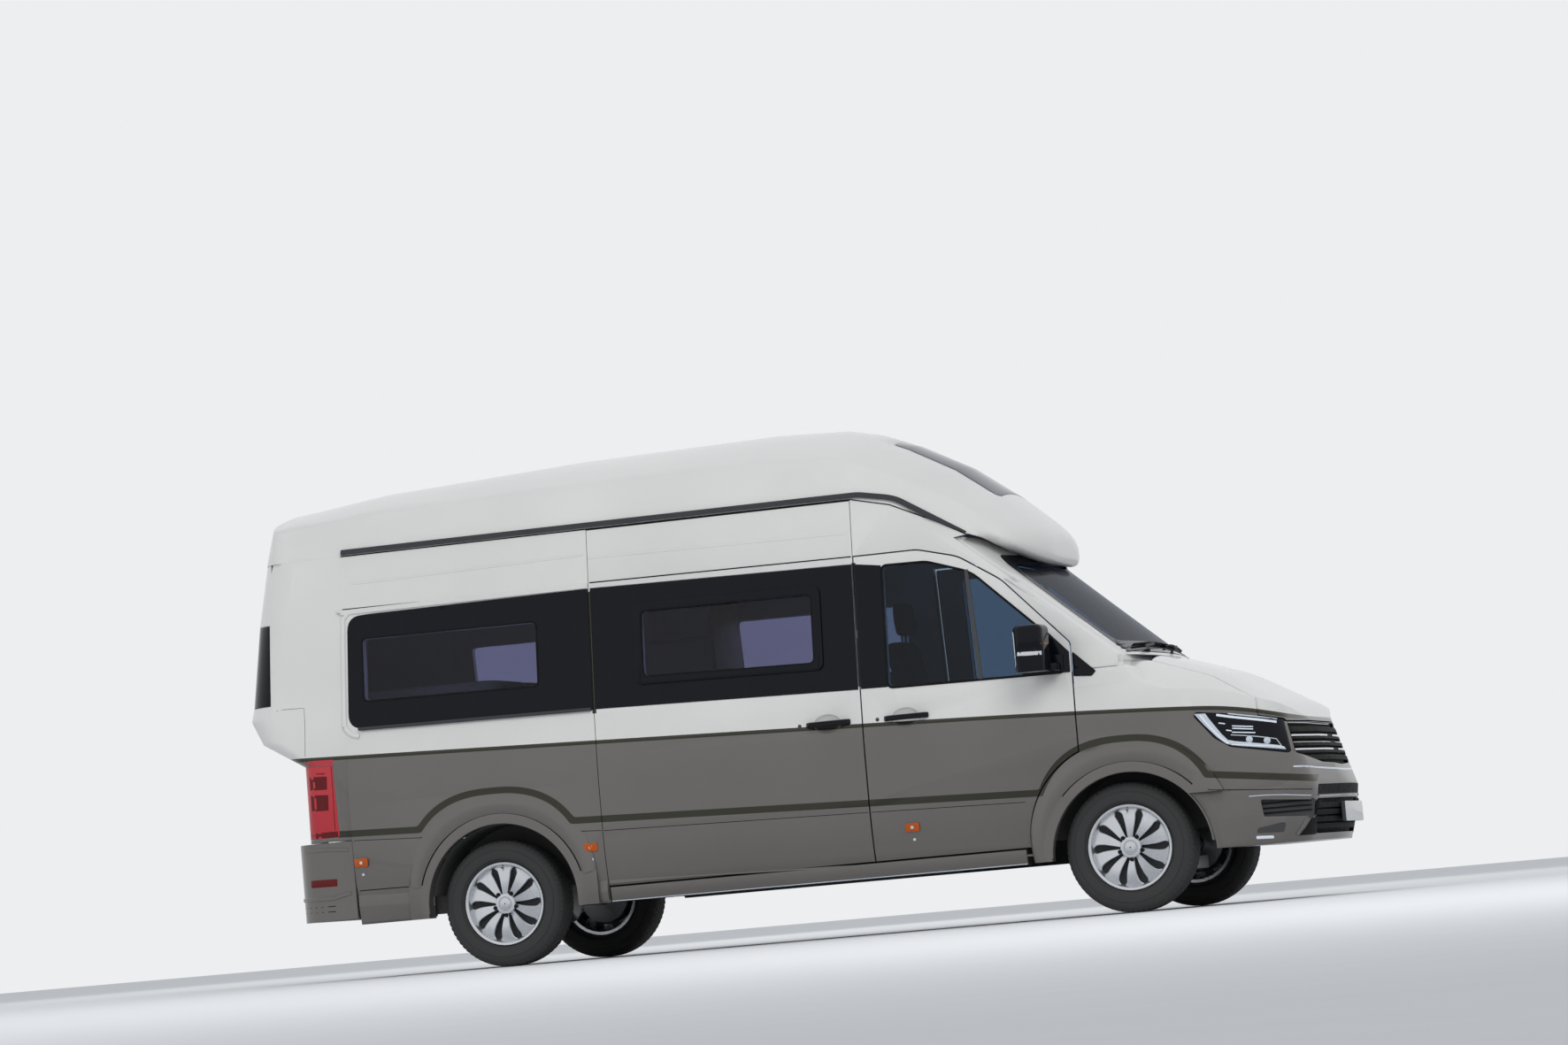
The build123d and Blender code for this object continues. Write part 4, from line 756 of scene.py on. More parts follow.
@dataclass(frozen=True)
class Repeat:
    """Copies one shape by geometry nodes, round a Y axis or in a row.

    Attributes:
        layout: Ring or row.
        count: Number of copies.
        first: Turn of a ring's first copy in radians.
        step: Offset between the copies of a row.
    """

    layout: Layout
    count: int
    first: float = 0.0
    step: tuple[float, float, float] = (0.0, 0.0, 0.0)

    def tree(self, source: bpy.types.Object, material: bpy.types.Material) -> tuple[bpy.types.NodeTree, dict[str, str]]:
        """Builds the node tree.

        Args:
            source: Object that is copied.
            material: Material set on the copies.

        Returns:
            The tree and the identifier of each of its named inputs.
        """
        tree = bpy.data.node_groups.new(f"repeat_{self.layout.value}", "GeometryNodeTree")
        named = {name: tree.interface.new_socket(name, in_out="INPUT", socket_type="NodeSocket" + kind).identifier
                 for name, kind in (("Geometry", "Geometry"), ("Count", "Int"), ("First Turn", "Float"),
                                    ("Step", "Vector"))}
        tree.interface.new_socket("Geometry", in_out="OUTPUT", socket_type="NodeSocketGeometry")
        given = node(tree, "NodeGroupInput").node.outputs
        line = node(tree, "GeometryNodeMeshLine", {"Count": given["Count"], "Offset": given["Step"]})
        copies = {"Points": line, "Instance": node(tree, "GeometryNodeObjectInfo", {"Object": source}, "Geometry")}
        if self.layout is Layout.RING:
            share = node(tree, "ShaderNodeMath", (node(tree, "GeometryNodeInputIndex"), given["Count"]),
                         operation="DIVIDE")
            turn = node(tree, "ShaderNodeMath", (share, 2 * math.pi, given["First Turn"]), operation="MULTIPLY_ADD")
            copies["Rotation"] = node(tree, "ShaderNodeCombineXYZ", {"Y": turn})
        real = node(tree, "GeometryNodeRealizeInstances", (node(tree, "GeometryNodeInstanceOnPoints", copies),))
        painted = node(tree, "GeometryNodeSetMaterial", {"Geometry": real, "Material": material})
        node(tree, "NodeGroupOutput", (painted,))
        return tree, named

    def make(self, shape: Shape, finish: Surface) -> Shape:
        """Runs the copies and gives them as one shape.

        Args:
            shape: The shape to copy.
            finish: Its finish.

        Returns:
            Vertices and faces of all copies.
        """
        mesh = bpy.data.meshes.new("repeat_source")
        mesh.from_pydata([tuple(v) for v in shape[0]], [], shape[1])
        source = bpy.data.objects.new("repeat_source", mesh)
        carrier = bpy.data.objects.new("repeat_carrier", bpy.data.meshes.new("repeat_carrier"))
        for obj in (source, carrier):
            bpy.context.scene.collection.objects.link(obj)
        modifier = carrier.modifiers.new("repeat", "NODES")
        modifier.node_group, named = self.tree(source, finish.build())
        for name, value in (("Count", self.count), ("First Turn", self.first), ("Step", self.step)):
            modifier[named[name]] = value
        bpy.context.view_layer.update()
        made = bpy.data.meshes.new_from_object(carrier.evaluated_get(bpy.context.evaluated_depsgraph_get()))
        carrier.modifiers.clear()
        for obj in (source, carrier):
            bpy.data.objects.remove(obj)
        return [tuple(v.co) for v in made.vertices], [tuple(p.vertices) for p in made.polygons]


class Drape:
    """A view of CAD nodes along one direction, in which outlines and lines are laid on them.

    Attributes:
        way: Direction of the view.
        across: Direction of the first coordinate.
        up: Direction of the second coordinate.
        shift: Added to the first coordinate of given rows.
        through: View from which given rows are carried over to this one.
    """

    def __init__(self, parts: Sequence[str], way: Sequence[float], across: Sequence[float],
                 up: Sequence[float] = UPWARD, shift: float = 0.0, through: Optional["Drape"] = None) -> None:
        """Gathers the nodes' faces."""
        verts: list = []
        faces: list = []
        for part in parts:
            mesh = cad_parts[part].data
            start = len(verts)
            verts += [v.co for v in mesh.vertices]
            faces += [tuple(start + i for i in p.vertices) for p in mesh.polygons]
        self.tree = BVHTree.FromPolygons(verts, faces)
        self.way, self.across, self.up = Vector(way).normalized(), Vector(across).normalized(), Vector(up)
        self.shift, self.through = shift, through

    def flat(self, point: Sequence[float]) -> tuple[float, float]:
        """Coordinates of a point in this view."""
        return Vector(point).dot(self.across), Vector(point).dot(self.up)

    def seen(self, rows: Iterable[tuple[float, float]]) -> Points:
        """Given rows in the coordinates of this view."""
        if self.through:
            return [self.flat(self.through.hit(self.through.shift + u, v)) for u, v in rows]
        return [(self.shift + u, v) for u, v in rows]

    def hit(self, u: float, v: float, out: float = 0.0) -> Vector:
        """Point on the surface; beside an opening its edge's depth is taken.

        Args:
            u: First coordinate.
            v: Second coordinate.
            out: How far the point stands out against the view.

        Returns:
            The point.
        """
        start = self.across * u + self.up * v - self.way * 6.0
        found = self.tree.ray_cast(start, self.way)[0]
        if found is None:
            for reach in (0.004, 0.010, 0.022, 0.045):
                tries = [self.tree.ray_cast(start + self.across * a * reach + self.up * b * reach, self.way)[0]
                         for a, b in ((1, 0), (-1, 0), (0, 1), (0, -1), (0.7, 0.7), (-0.7, 0.7))]
                good = [t for t in tries if t is not None]
                if good:
                    found = start + self.way * (sum((g - start).dot(self.way) for g in good) / len(good))
                    break
        if found is None:
            found = self.tree.find_nearest(start + self.way * 5.0)[0]
        return found - self.way * out

    def patch(self, outline: Points, out: float, thick: float, step: float = 0.03,
              holes: Sequence[Points] = ()) -> Shape:
        """Closed slab lying on the surface.

        Args:
            outline: Closed outline in this view.
            out: How far its face stands out.
            thick: Its thickness.
            step: Grid distance.
            holes: Outlines left open.

        Returns:
            Vertices and faces.
        """
        return slab(fill(outline, holes, step), lambda u, v: self.hit(u, v, out),
                    lambda u, v: self.hit(u, v, out - thick))

    def line(self, rows: Points, width: float, height: float, out: float = -0.001, step: float = 0.04) -> Shape:
        """Strip lying on the surface along a line."""
        path = [self.hit(u, v, out) for u, v in [*dense(rows, step), tuple(rows[-1])]]
        return sweep(path, rounded_bar(width, height), -self.way)


@dataclass(frozen=True)
class Strip:
    """Bar or line lying on the coachwork.

    Attributes:
        tag: Piece name, with a gap for the side.
        finish: Its finish.
        rows: Points of the line.
        width: Width.
        height: Height.
        out: How far its foot stands out.
        smooth: Parts of a smooth line between two points, 0 for a straight one.
        bevel: Width of the rounded edges.
        step: Distance of the points laid on the surface.
    """

    tag: str
    finish: Surface
    rows: Sequence[tuple[float, float]]
    width: float
    height: float
    out: float = -0.001
    smooth: int = 0
    bevel: float = 0.0
    step: float = 0.04

    def shape(self, view: Drape) -> Shape:
        """The strip on the surface of a view."""
        rows = curve(self.rows, self.smooth) if self.smooth else self.rows
        return view.line(view.seen(rows), self.width, self.height, self.out, self.step)

    def lay(self, view: Drape, name: str = "", body: str = "body") -> bpy.types.Object:
        """Makes the piece, named for a side."""
        return make(self.tag.format(name), self.finish, self.shape(view), body=body, bevel=self.bevel)


@dataclass(frozen=True)
class Panel:
    """Thin plate lying on the coachwork.

    Attributes:
        tag: Piece name, with a gap for the side.
        finish: Its finish.
        rows: Corners with their radius, or plain points.
        out: How far its face stands out.
        thick: Thickness.
        grid: Grid distance.
        steps: Points on each rounded corner.
        bevel: Width of the rounded edges.
        grown: Distance by which the outline is widened.
    """

    tag: str
    finish: Surface
    rows: Sequence[tuple[float, ...]]
    out: float
    thick: float
    grid: float = 0.03
    steps: int = 3
    bevel: float = 0.0
    grown: float = 0.0

    def shape(self, view: Drape) -> Shape:
        """The plate on the surface of a view."""
        outline = (rounded([(view.shift + u, v, r) for u, v, r in self.rows], self.steps) if len(self.rows[0]) == 3
                   else view.seen(self.rows))
        return view.patch(grow(outline, self.grown) if self.grown else outline, self.out, self.thick, self.grid)

    lay = Strip.lay


def ball(centre: Vector, radius: float, way: Vector, depth: float) -> Shape:
    """Dome of a lamp lens facing one way.

    Args:
        centre: Middle of its foot.
        radius: Radius of its foot.
        way: Direction it faces.
        depth: Height as a share of the radius.

    Returns:
        Vertices and faces.
    """
    way = way.normalized()
    across = way.cross(Vector(UPWARD)).normalized()
    up = across.cross(way)
    verts = [tuple(centre + way * radius * depth)]
    rings, steps = 5, 24
    for a in (math.pi / 2 * i / rings for i in range(1, rings + 1)):
        for b in (2 * math.pi * k / steps for k in range(steps)):
            verts.append(tuple(centre + (across * math.cos(b) + up * math.sin(b)) * radius * math.sin(a)
                               + way * radius * depth * math.cos(a)))
    faces = [(0, 1 + k, 1 + (k + 1) % steps) for k in range(steps)]
    faces += [(1 + i * steps + k, 1 + (i + 1) * steps + k, 1 + (i + 1) * steps + (k + 1) % steps,
               1 + i * steps + (k + 1) % steps) for i in range(rings - 1) for k in range(steps)]
    return verts, faces + [tuple(1 + (rings - 1) * steps + k for k in reversed(range(steps)))]


def cushion(low: Sequence[float], high: Sequence[float], lean: float, crown: float) -> Shape:
    """Crowned closed cushion inside a box, its corners drawn in, with piped seams.

    Args:
        low: Lowest corner of the box.
        high: Highest corner of the box.
        lean: How far the top moves along X.
        crown: How much the faces swell, as a share of the thinnest side.

    Returns:
        Vertices and faces.
    """
    a, b = Vector(low), Vector(high)
    middle, half = (a + b) / 2, (b - a) / 2
    thin = min(range(3), key=lambda i: half[i])
    power, piping = 7.0, 0.42
    index: dict = {}
    verts, faces = [], []

    def point(*at: float) -> int:
        """Number of the vertex at a place on the unit box."""
        key = tuple(round(c, 5) for c in at)
        if key not in index:
            q = Vector(at)
            q = q / max(sum(abs(c) ** power for c in at) ** (1 / power), 1e-6) * max(abs(c) for c in at)
            others = [q[i] for i in range(3) if i != thin]
            q[thin] *= (1 - crown) + crown * (1 - abs(others[0]) ** 2.2) * (1 - abs(others[1]) ** 2.2)
            q[thin] *= 1 - 0.07 * sum(math.exp(-((others[-1] - t) / 0.035) ** 2) for t in (-piping, piping))
            p = Vector((middle[i] + q[i] * half[i] for i in range(3)))
            p.x += lean * (p.z - a.z) / max(b.z - a.z, 1e-6)
            index[key] = len(verts)
            verts.append(tuple(p))
        return index[key]

    ticks = sorted({-1 + 2 * i / 14 for i in range(15)} | {-0.46, -piping, -0.38, 0.38, piping, 0.46})
    for axis in range(3):
        for sign in (-1, 1):
            for (s0, s1), (t0, t1) in ((s, t) for s in zip(ticks, ticks[1:]) for t in zip(ticks, ticks[1:])):
                ring = []
                for s, t in ((s0, t0), (s1, t0), (s1, t1), (s0, t1)):
                    c = [0.0, 0.0, 0.0]
                    c[axis], c[(axis + 1) % 3], c[(axis + 2) % 3] = sign, s, t
                    ring.append(point(*c))
                faces.append(tuple(ring if sign > 0 else reversed(ring)))
    return verts, faces


@dataclass(frozen=True)
class Wheels:
    """Tyres with tread, ten-blade alloy wheels, lug bolts and plain centre caps.

    Attributes:
        half: Half width of the tyre.
        bead: Half width at the bead.
        steps: Divisions round the tyre.
        grooves: Middle of the tread's grooves.
        rim_half: Half width of the rim.
        blades: Number of blades.
        bolts: Number of lug bolts.
        bolt_ring: Radius of the bolts' circle.
        blade_reach: Radii at which a blade begins and ends.
    """

    half: float = 0.1175
    bead: float = 0.083
    steps: int = 288
    grooves: tuple[float, ...] = (0.062, 0.021)
    rim_half: float = 0.089
    blades: int = 10
    bolts: int = 5
    bolt_ring: float = 0.0655
    blade_reach: tuple[float, float] = (0.046, 0.2135)

    def build(self) -> None:
        """Builds the four wheels and dresses the front knuckles."""
        for place, x in (("front", FRONT_X), ("rear", REAR_X)):
            for side in (LEFT, RIGHT):
                tag = f"{place}_{SIDE_NAME[side]}"
                centre = Vector((x, side * TRACK_HALF, WHEEL_Z))
                self.tyre(tag, centre, side)
                self.rim(tag, centre, side)
                if place == "front":
                    skin(f"knuckle_{SIDE_NAME[side]}", DISC, f"steered_{SIDE_NAME[side]}")

    def sipe(self, k: int, r: float, y: float) -> float:
        """Depth of the cross grooves at one division, radius and offset."""
        if r > 0.3525:
            lean = 2 if abs(y) > 0.07 else (0 if abs(y) > 0.03 else 1)
            return 0.0 if (k + lean) % 4 else 0.006 if abs(y) > 0.07 else 0.003
        return 0.004 if 0.3435 <= r and k % 4 == 2 and abs(y) > 0.09 else 0.0

    def tyre(self, tag: str, centre: Vector, side: int) -> None:
        """Builds one tyre.

        Args:
            tag: Place and side.
            centre: Middle of the wheel.
            side: Left or right.
        """
        half, bead = self.half, self.bead
        right = [(0.2225, bead), (0.238, bead + 0.001), (0.243, bead + 0.009), (0.252, bead + 0.018),
                 (0.254, bead + 0.0255), (0.262, half - 0.005), (0.276, half - 0.0015), (0.292, half - 0.0005),
                 (0.300, half), (0.302, half - 0.003), (0.306, half - 0.003), (0.308, half - 0.0012),
                 (0.322, half - 0.004), (0.334, half - 0.010), (0.3435, half - 0.019), (0.3465, half - 0.0235),
                 (0.3500, half - 0.0255), (0.3540, 0.084)]
        for groove in self.grooves:
            crown = 0.0012 * (1 - groove / 0.1)
            right += [(0.3553 + crown, groove + 0.0062), (0.3475, groove + 0.0045), (0.3475, groove - 0.0045),
                      (0.3556 + crown, groove - 0.0062)]
        profile = [*right, (0.3570, 0.0), *((r, -y) for r, y in reversed(right)), (0.2225, -0.04), (0.2225, 0.04)]
        rows = []
        for k in range(self.steps):
            a = 2 * math.pi * k / self.steps
            rows.append([(centre.x + (r - self.sipe(k, r, y)) * math.sin(a), centre.y + side * y,
                          centre.z + (r - self.sipe(k, r, y)) * math.cos(a)) for r, y in profile])
        make(f"tyre_{tag}_treaded", TYRE, lofted(rows, True), body=f"wheel_{tag}", angle=28, replaces=(f"tyre_{tag}",))

    def rim(self, tag: str, centre: Vector, side: int) -> None:
        """Builds one alloy wheel, with a dark disc of painted shade behind the openings between its blades.

        Args:
            tag: Place and side.
            centre: Middle of the wheel.
            side: Left or right.
        """
        half, put = self.rim_half, partial(make, body=f"wheel_{tag}")
        barrel = [(0.2050, -half), (0.2218, -half), (0.2218, half - 0.006), (0.2350, half - 0.003),
                  (0.2358, half + 0.003), (0.2330, half + 0.0058), (0.2240, half + 0.0058), (0.2180, half + 0.001),
                  (0.2120, half - 0.010), (0.2100, half - 0.030), (0.1900, 0.0)]
        put(f"rim_{tag}_barrel", ALLOY, lathe(barrel, 160, centre, side), angle=40, replaces=(f"rim_{tag}",))
        # A dark disc behind the blades: painted shade seen through the openings between them.
        backing = [(0.030, 0.034), (0.208, 0.050), (0.208, 0.044), (0.030, 0.031)]
        put(f"rim_{tag}_pockets", PAINTED_GAP_SHADE, lathe(backing, 96, centre, side))
        blades = Repeat(Layout.RING, self.blades).make(self.blade(side), ALLOY)
        put(f"rim_{tag}_blades", ALLOY, moved(blades, centre), angle=30)
        hub = [(0.004, 0.060), (0.060, 0.060), (0.060, 0.074), (0.056, 0.079), (0.040, 0.081), (0.036, 0.0765),
               (0.033, 0.0765), (0.031, 0.0835), (0.026, 0.0865), (0.004, 0.0875)]
        put(f"rim_{tag}_centre", ALLOY, lathe(hub, 64, centre, side), angle=30)
        bolt = lathe([(0.001, 0.062), (0.0115, 0.062), (0.0115, 0.082), (0.0095, 0.085), (0.001, 0.085)], 14, HOME,
                     side)
        bolts = Repeat(Layout.RING, self.bolts, math.pi / self.bolts).make(moved(bolt, (0, 0, self.bolt_ring)),
                                                                          BLACK_GLOSS)
        put(f"rim_{tag}_bolts", BLACK_GLOSS, moved(bolts, centre))
        valve = lathe([(0.001, 0.070), (0.004, 0.070), (0.0035, 0.098), (0.001, 0.099)], 10, HOME, side)
        put(f"rim_{tag}_valve", BLACK, moved(valve, centre + Vector((0.0, 0, 0.203))))

    def blade(self, side: int) -> Shape:
        """One broad blade pointing up from the wheel's middle."""
        rings, (start, end) = 16, self.blade_reach
        rows = []
        for u in (i / rings for i in range(rings + 1)):
            r = start + (end - start) * u
            spread = 0.012 + 0.031 * u ** 1.1 + 0.016 * max(0.0, u - 0.86) / 0.14
            crown = 0.068 - 0.002 * u + 0.013 * math.sin(math.pi * min(u * 1.02, 1.0))
            face = [(w * spread, crown - (0.005 if abs(w) > 0.95 else 0.0) - 0.007 * w)
                    for w in (-1.0, -0.88, -0.35, 0.35, 0.88, 1.0)]
            row = []
            for wide, y in [*face, (spread * 0.82, crown - 0.036), (-spread * 0.82, crown - 0.036)]:
                a = 0.06 * math.sin(math.pi * u) + math.asin(min(wide / r, 0.99))
                row.append((r * math.sin(a), side * y, r * math.cos(a)))
            rows.append(row)
        return lofted(rows)


SHARED = ("side_glass", "cab_frame", "front_wings", "front_bumper", "floor_pan", "rear_module", "rear_bumper",
          "tail_lamps", "high_roof")
SIDE_NODES = {LEFT: ("side_panel_left", "cab_door_left", "cab_door_glass_left", *SHARED),
              RIGHT: ("side_panel_right", "sliding_door", "cab_door_right", "cab_door_glass_right", *SHARED)}


def side_drape(side: int, parts: Optional[Sequence[str]] = None) -> Drape:
    """View of one side of the van; given rows are stations and heights."""
    return Drape(parts or SIDE_NODES[side], (0, -side, 0), FORWARD, shift=FRONT_X)


def ring_line(middle: float, level: float, radius: float, limit: float, count: int, tall: float = 1.0) -> Points:
    """Stations and heights on an arc over a wheel.

    Args:
        middle: Station of its centre.
        level: Height of its centre.
        radius: Radius.
        limit: Angle from the top to either end, in degrees.
        count: Number of parts.
        tall: Stretch of the heights.

    Returns:
        The points.
    """
    angles = [math.radians(-limit + 2 * limit * k / count) for k in range(count + 1)]
    return [(middle + radius * math.sin(a), level + radius * math.cos(a) * tall) for a in angles]


@dataclass(frozen=True)
class Flare:
    """Outline of a wheel flare seen from the side: rounded shoulders and a short flat top.

    Attributes:
        place: Front or rear.
        middle: Station of its centre.
        level: Height of its centre.
        top: Height of its top.
        span: Angles between which its crown swells, in degrees from the top.
        foot: Height down to which its shadow line runs.
        shoulder: Radius of the shoulders.
        flat: Half width of the flat top.
    """

    place: str
    middle: float
    level: float
    top: float
    span: tuple[int, int]
    foot: float
    shoulder: float = 0.515
    flat: float = 0.050

    def edge(self, way: Vector) -> float:
        """Distance of the outer edge from the centre in one direction."""
        heart = Vector((math.copysign(self.flat, way.x), self.top - self.level - self.shoulder))
        along = way.dot(heart)
        far = along + math.sqrt(along * along - heart.length_squared + self.shoulder ** 2)
        return (self.top - self.level) / way.y if abs(far * way.x) < self.flat else far


FRONT_FLARE = Flare("front", 0.034, 0.318, 0.938, (-52, 44), 0.640)
REAR_FLARE = Flare("rear", -3.613, 0.361, 0.985, (-76, 76), 0.48)


@dataclass(frozen=True)
class Coachwork:
    """Body panels as smooth copies of the CAD panels, with the small forms that join them.

    Attributes:
        panels: Node and body of each painted panel.
        moulded: Node and body of the moulded rear.
        handles: Node, station and height of each finger hollow.
        hollow: Half sizes of the hollow.
        leg_inner: Radius of the wheel opening at the flare's foot.
        shoulder_crest: Half width and height along the wing's shoulder beside the pillar.
        shoulder_plain: Half widths of the same points further ahead, on the wing.
    """

    panels: tuple = (("side_panel_right", "body"), ("side_panel_left", "body"), ("sliding_door", "body"),
                     ("cab_door_left", "door_left"), ("cab_door_right", "door_right"), ("cab_frame", "body"),
                     ("bonnet", "bonnet"), ("front_wings", "body"), ("front_bumper", "body"), ("rear_bumper", "body"))
    moulded: tuple = (("rear_module", "body"), ("rear_hatch", "hatch"))
    handles: tuple = (("cab_door_left", -1.180, 1.183), ("cab_door_right", -1.180, 1.183),
                      ("sliding_door", -1.630, 1.187))
    hollow: tuple = (0.080, 0.022, 0.054)
    leg_inner: float = 0.4505
    shoulder_crest: tuple = ((0.9895, 1.243), (0.9878, 1.270), (0.9858, 1.300), (0.9836, 1.325), (0.9800, 1.342),
                             (0.9720, 1.3505), (0.9550, 1.3530), (0.9380, 1.3530), (0.9200, 1.3530))
    shoulder_plain: tuple = (0.9885, 0.9850, 0.9800, 0.9720, 0.9620, 0.9520, 0.9400, 0.9280, 0.9150)

    def build(self) -> None:
        """Builds every panel."""
        for part, body in self.panels:
            side = LEFT if part == "cab_door_left" else RIGHT
            spots = [Vector(on_side(FRONT_X + s, z, side, 0.002)) for owner, s, z in self.handles if owner == part]
            mesh = hollowed(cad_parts[part].data.copy(), spots, Vector(self.hollow)) if spots else None
            skin(part, PAINT, body, 0.003, 25, mesh)
        roof = softened(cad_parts["high_roof"].data.copy(), FRONT_X - 0.80, FRONT_X - 0.60,
                        Vector((FRONT_X - 0.88, 0, 2.36)))
        skin("high_roof", ROOF, "body", 0.0, 40, roof)
        for part, body in self.moulded:
            skin(part, PAINT, body, 0.004, 40)
        for side in (RIGHT, LEFT):
            wings = Drape(("front_wings",), (0, 0, -1), SIDEWARD, FORWARD)
            for name, rows in (("flare_leg", self.leg(side)), ("wing_shoulder", self.shoulder(side, wings)),
                               ("pillar_web", self.web(side)), ("cowl_end", self.cowl_end(side, wings))):
                make(f"{name}_{SIDE_NAME[side]}", PAINT, lofted(rows), angle=50)

    def leg(self, side: int) -> list:
        """Sections of the front flare's rear foot, between the wheel opening and the door."""
        rows = []
        for k in range(25):
            a = math.radians(-90 + 42 * k / 24)
            way = Vector((math.sin(a), math.cos(a)))
            far = FRONT_FLARE.edge(way)
            row = []
            for j in range(17):
                r = far + (self.leg_inner - far) * j / 16
                swell = math.sin(math.pi * min((far - r) / (far - 0.504), 1.0)) ** 0.8
                row.append((r, 1.0036 + 0.017 * min(1.0, (far - r) / 0.062) + 0.011 * swell))
            rows.append([(FRONT_X + FRONT_FLARE.middle + r * way.x, side * y, FRONT_FLARE.level + r * way.y)
                         for r, y in [*row, (self.leg_inner, 0.950), (far, 0.950)]])
        return rows

    def shoulder(self, side: int, wings: Drape) -> list:
        """Sections of the wing's top at the foot of the windscreen pillar, flush with the side."""
        rows = []
        for k in range(33):
            s = -0.213 + 0.413 * k / 32
            share = 1.0 - ease((s - 0.070) / 0.120)
            row = []
            for (y, z), flat in zip(self.shoulder_crest, self.shoulder_plain):
                low = wings.hit(side * flat, FRONT_X + max(s, 0.075)).z - 0.002 * max(s - 0.12, 0.0) / 0.08
                row.append((FRONT_X + s, side * (flat + (y - flat) * share), low + (z - low) * share))
            rows.append([*row, (FRONT_X + s, row[-1][1], row[-1][2] - 0.010), (FRONT_X + s, side * 0.950, 1.236)])
        return rows

    def web(self, side: int) -> list:
        """Sections of the web that closes the front pillar beside the screen."""
        rows = []
        for z in (1.405 + 0.035 * k for k in range(15)):
            front, back = FRONT_X + 0.016 - 1.2 * (z - 1.43), FRONT_X + 0.038 - 1.2 * (z - 1.43)
            rows.append([(front, side * 0.935, z), (back, side * 0.853, z), (back - 0.02, side * 0.853, z),
                         (front - 0.02, side * 0.935, z)])
        return rows

    def cowl_end(self, side: int, wings: Drape) -> list:
        """Sections of the end wall of the cowl over the wing."""
        rows = []
        for y in (0.800 + 0.178 * k / 14 for k in range(15)):
            low = wings.hit(side * y, FRONT_X + 0.078).z - 0.03
            rows.append([(FRONT_X + s, side * y, z) for s, z in ((0.070, low), (0.070, 1.368), (0.030, 1.368),
                                                                 (0.030, low))])
        return rows


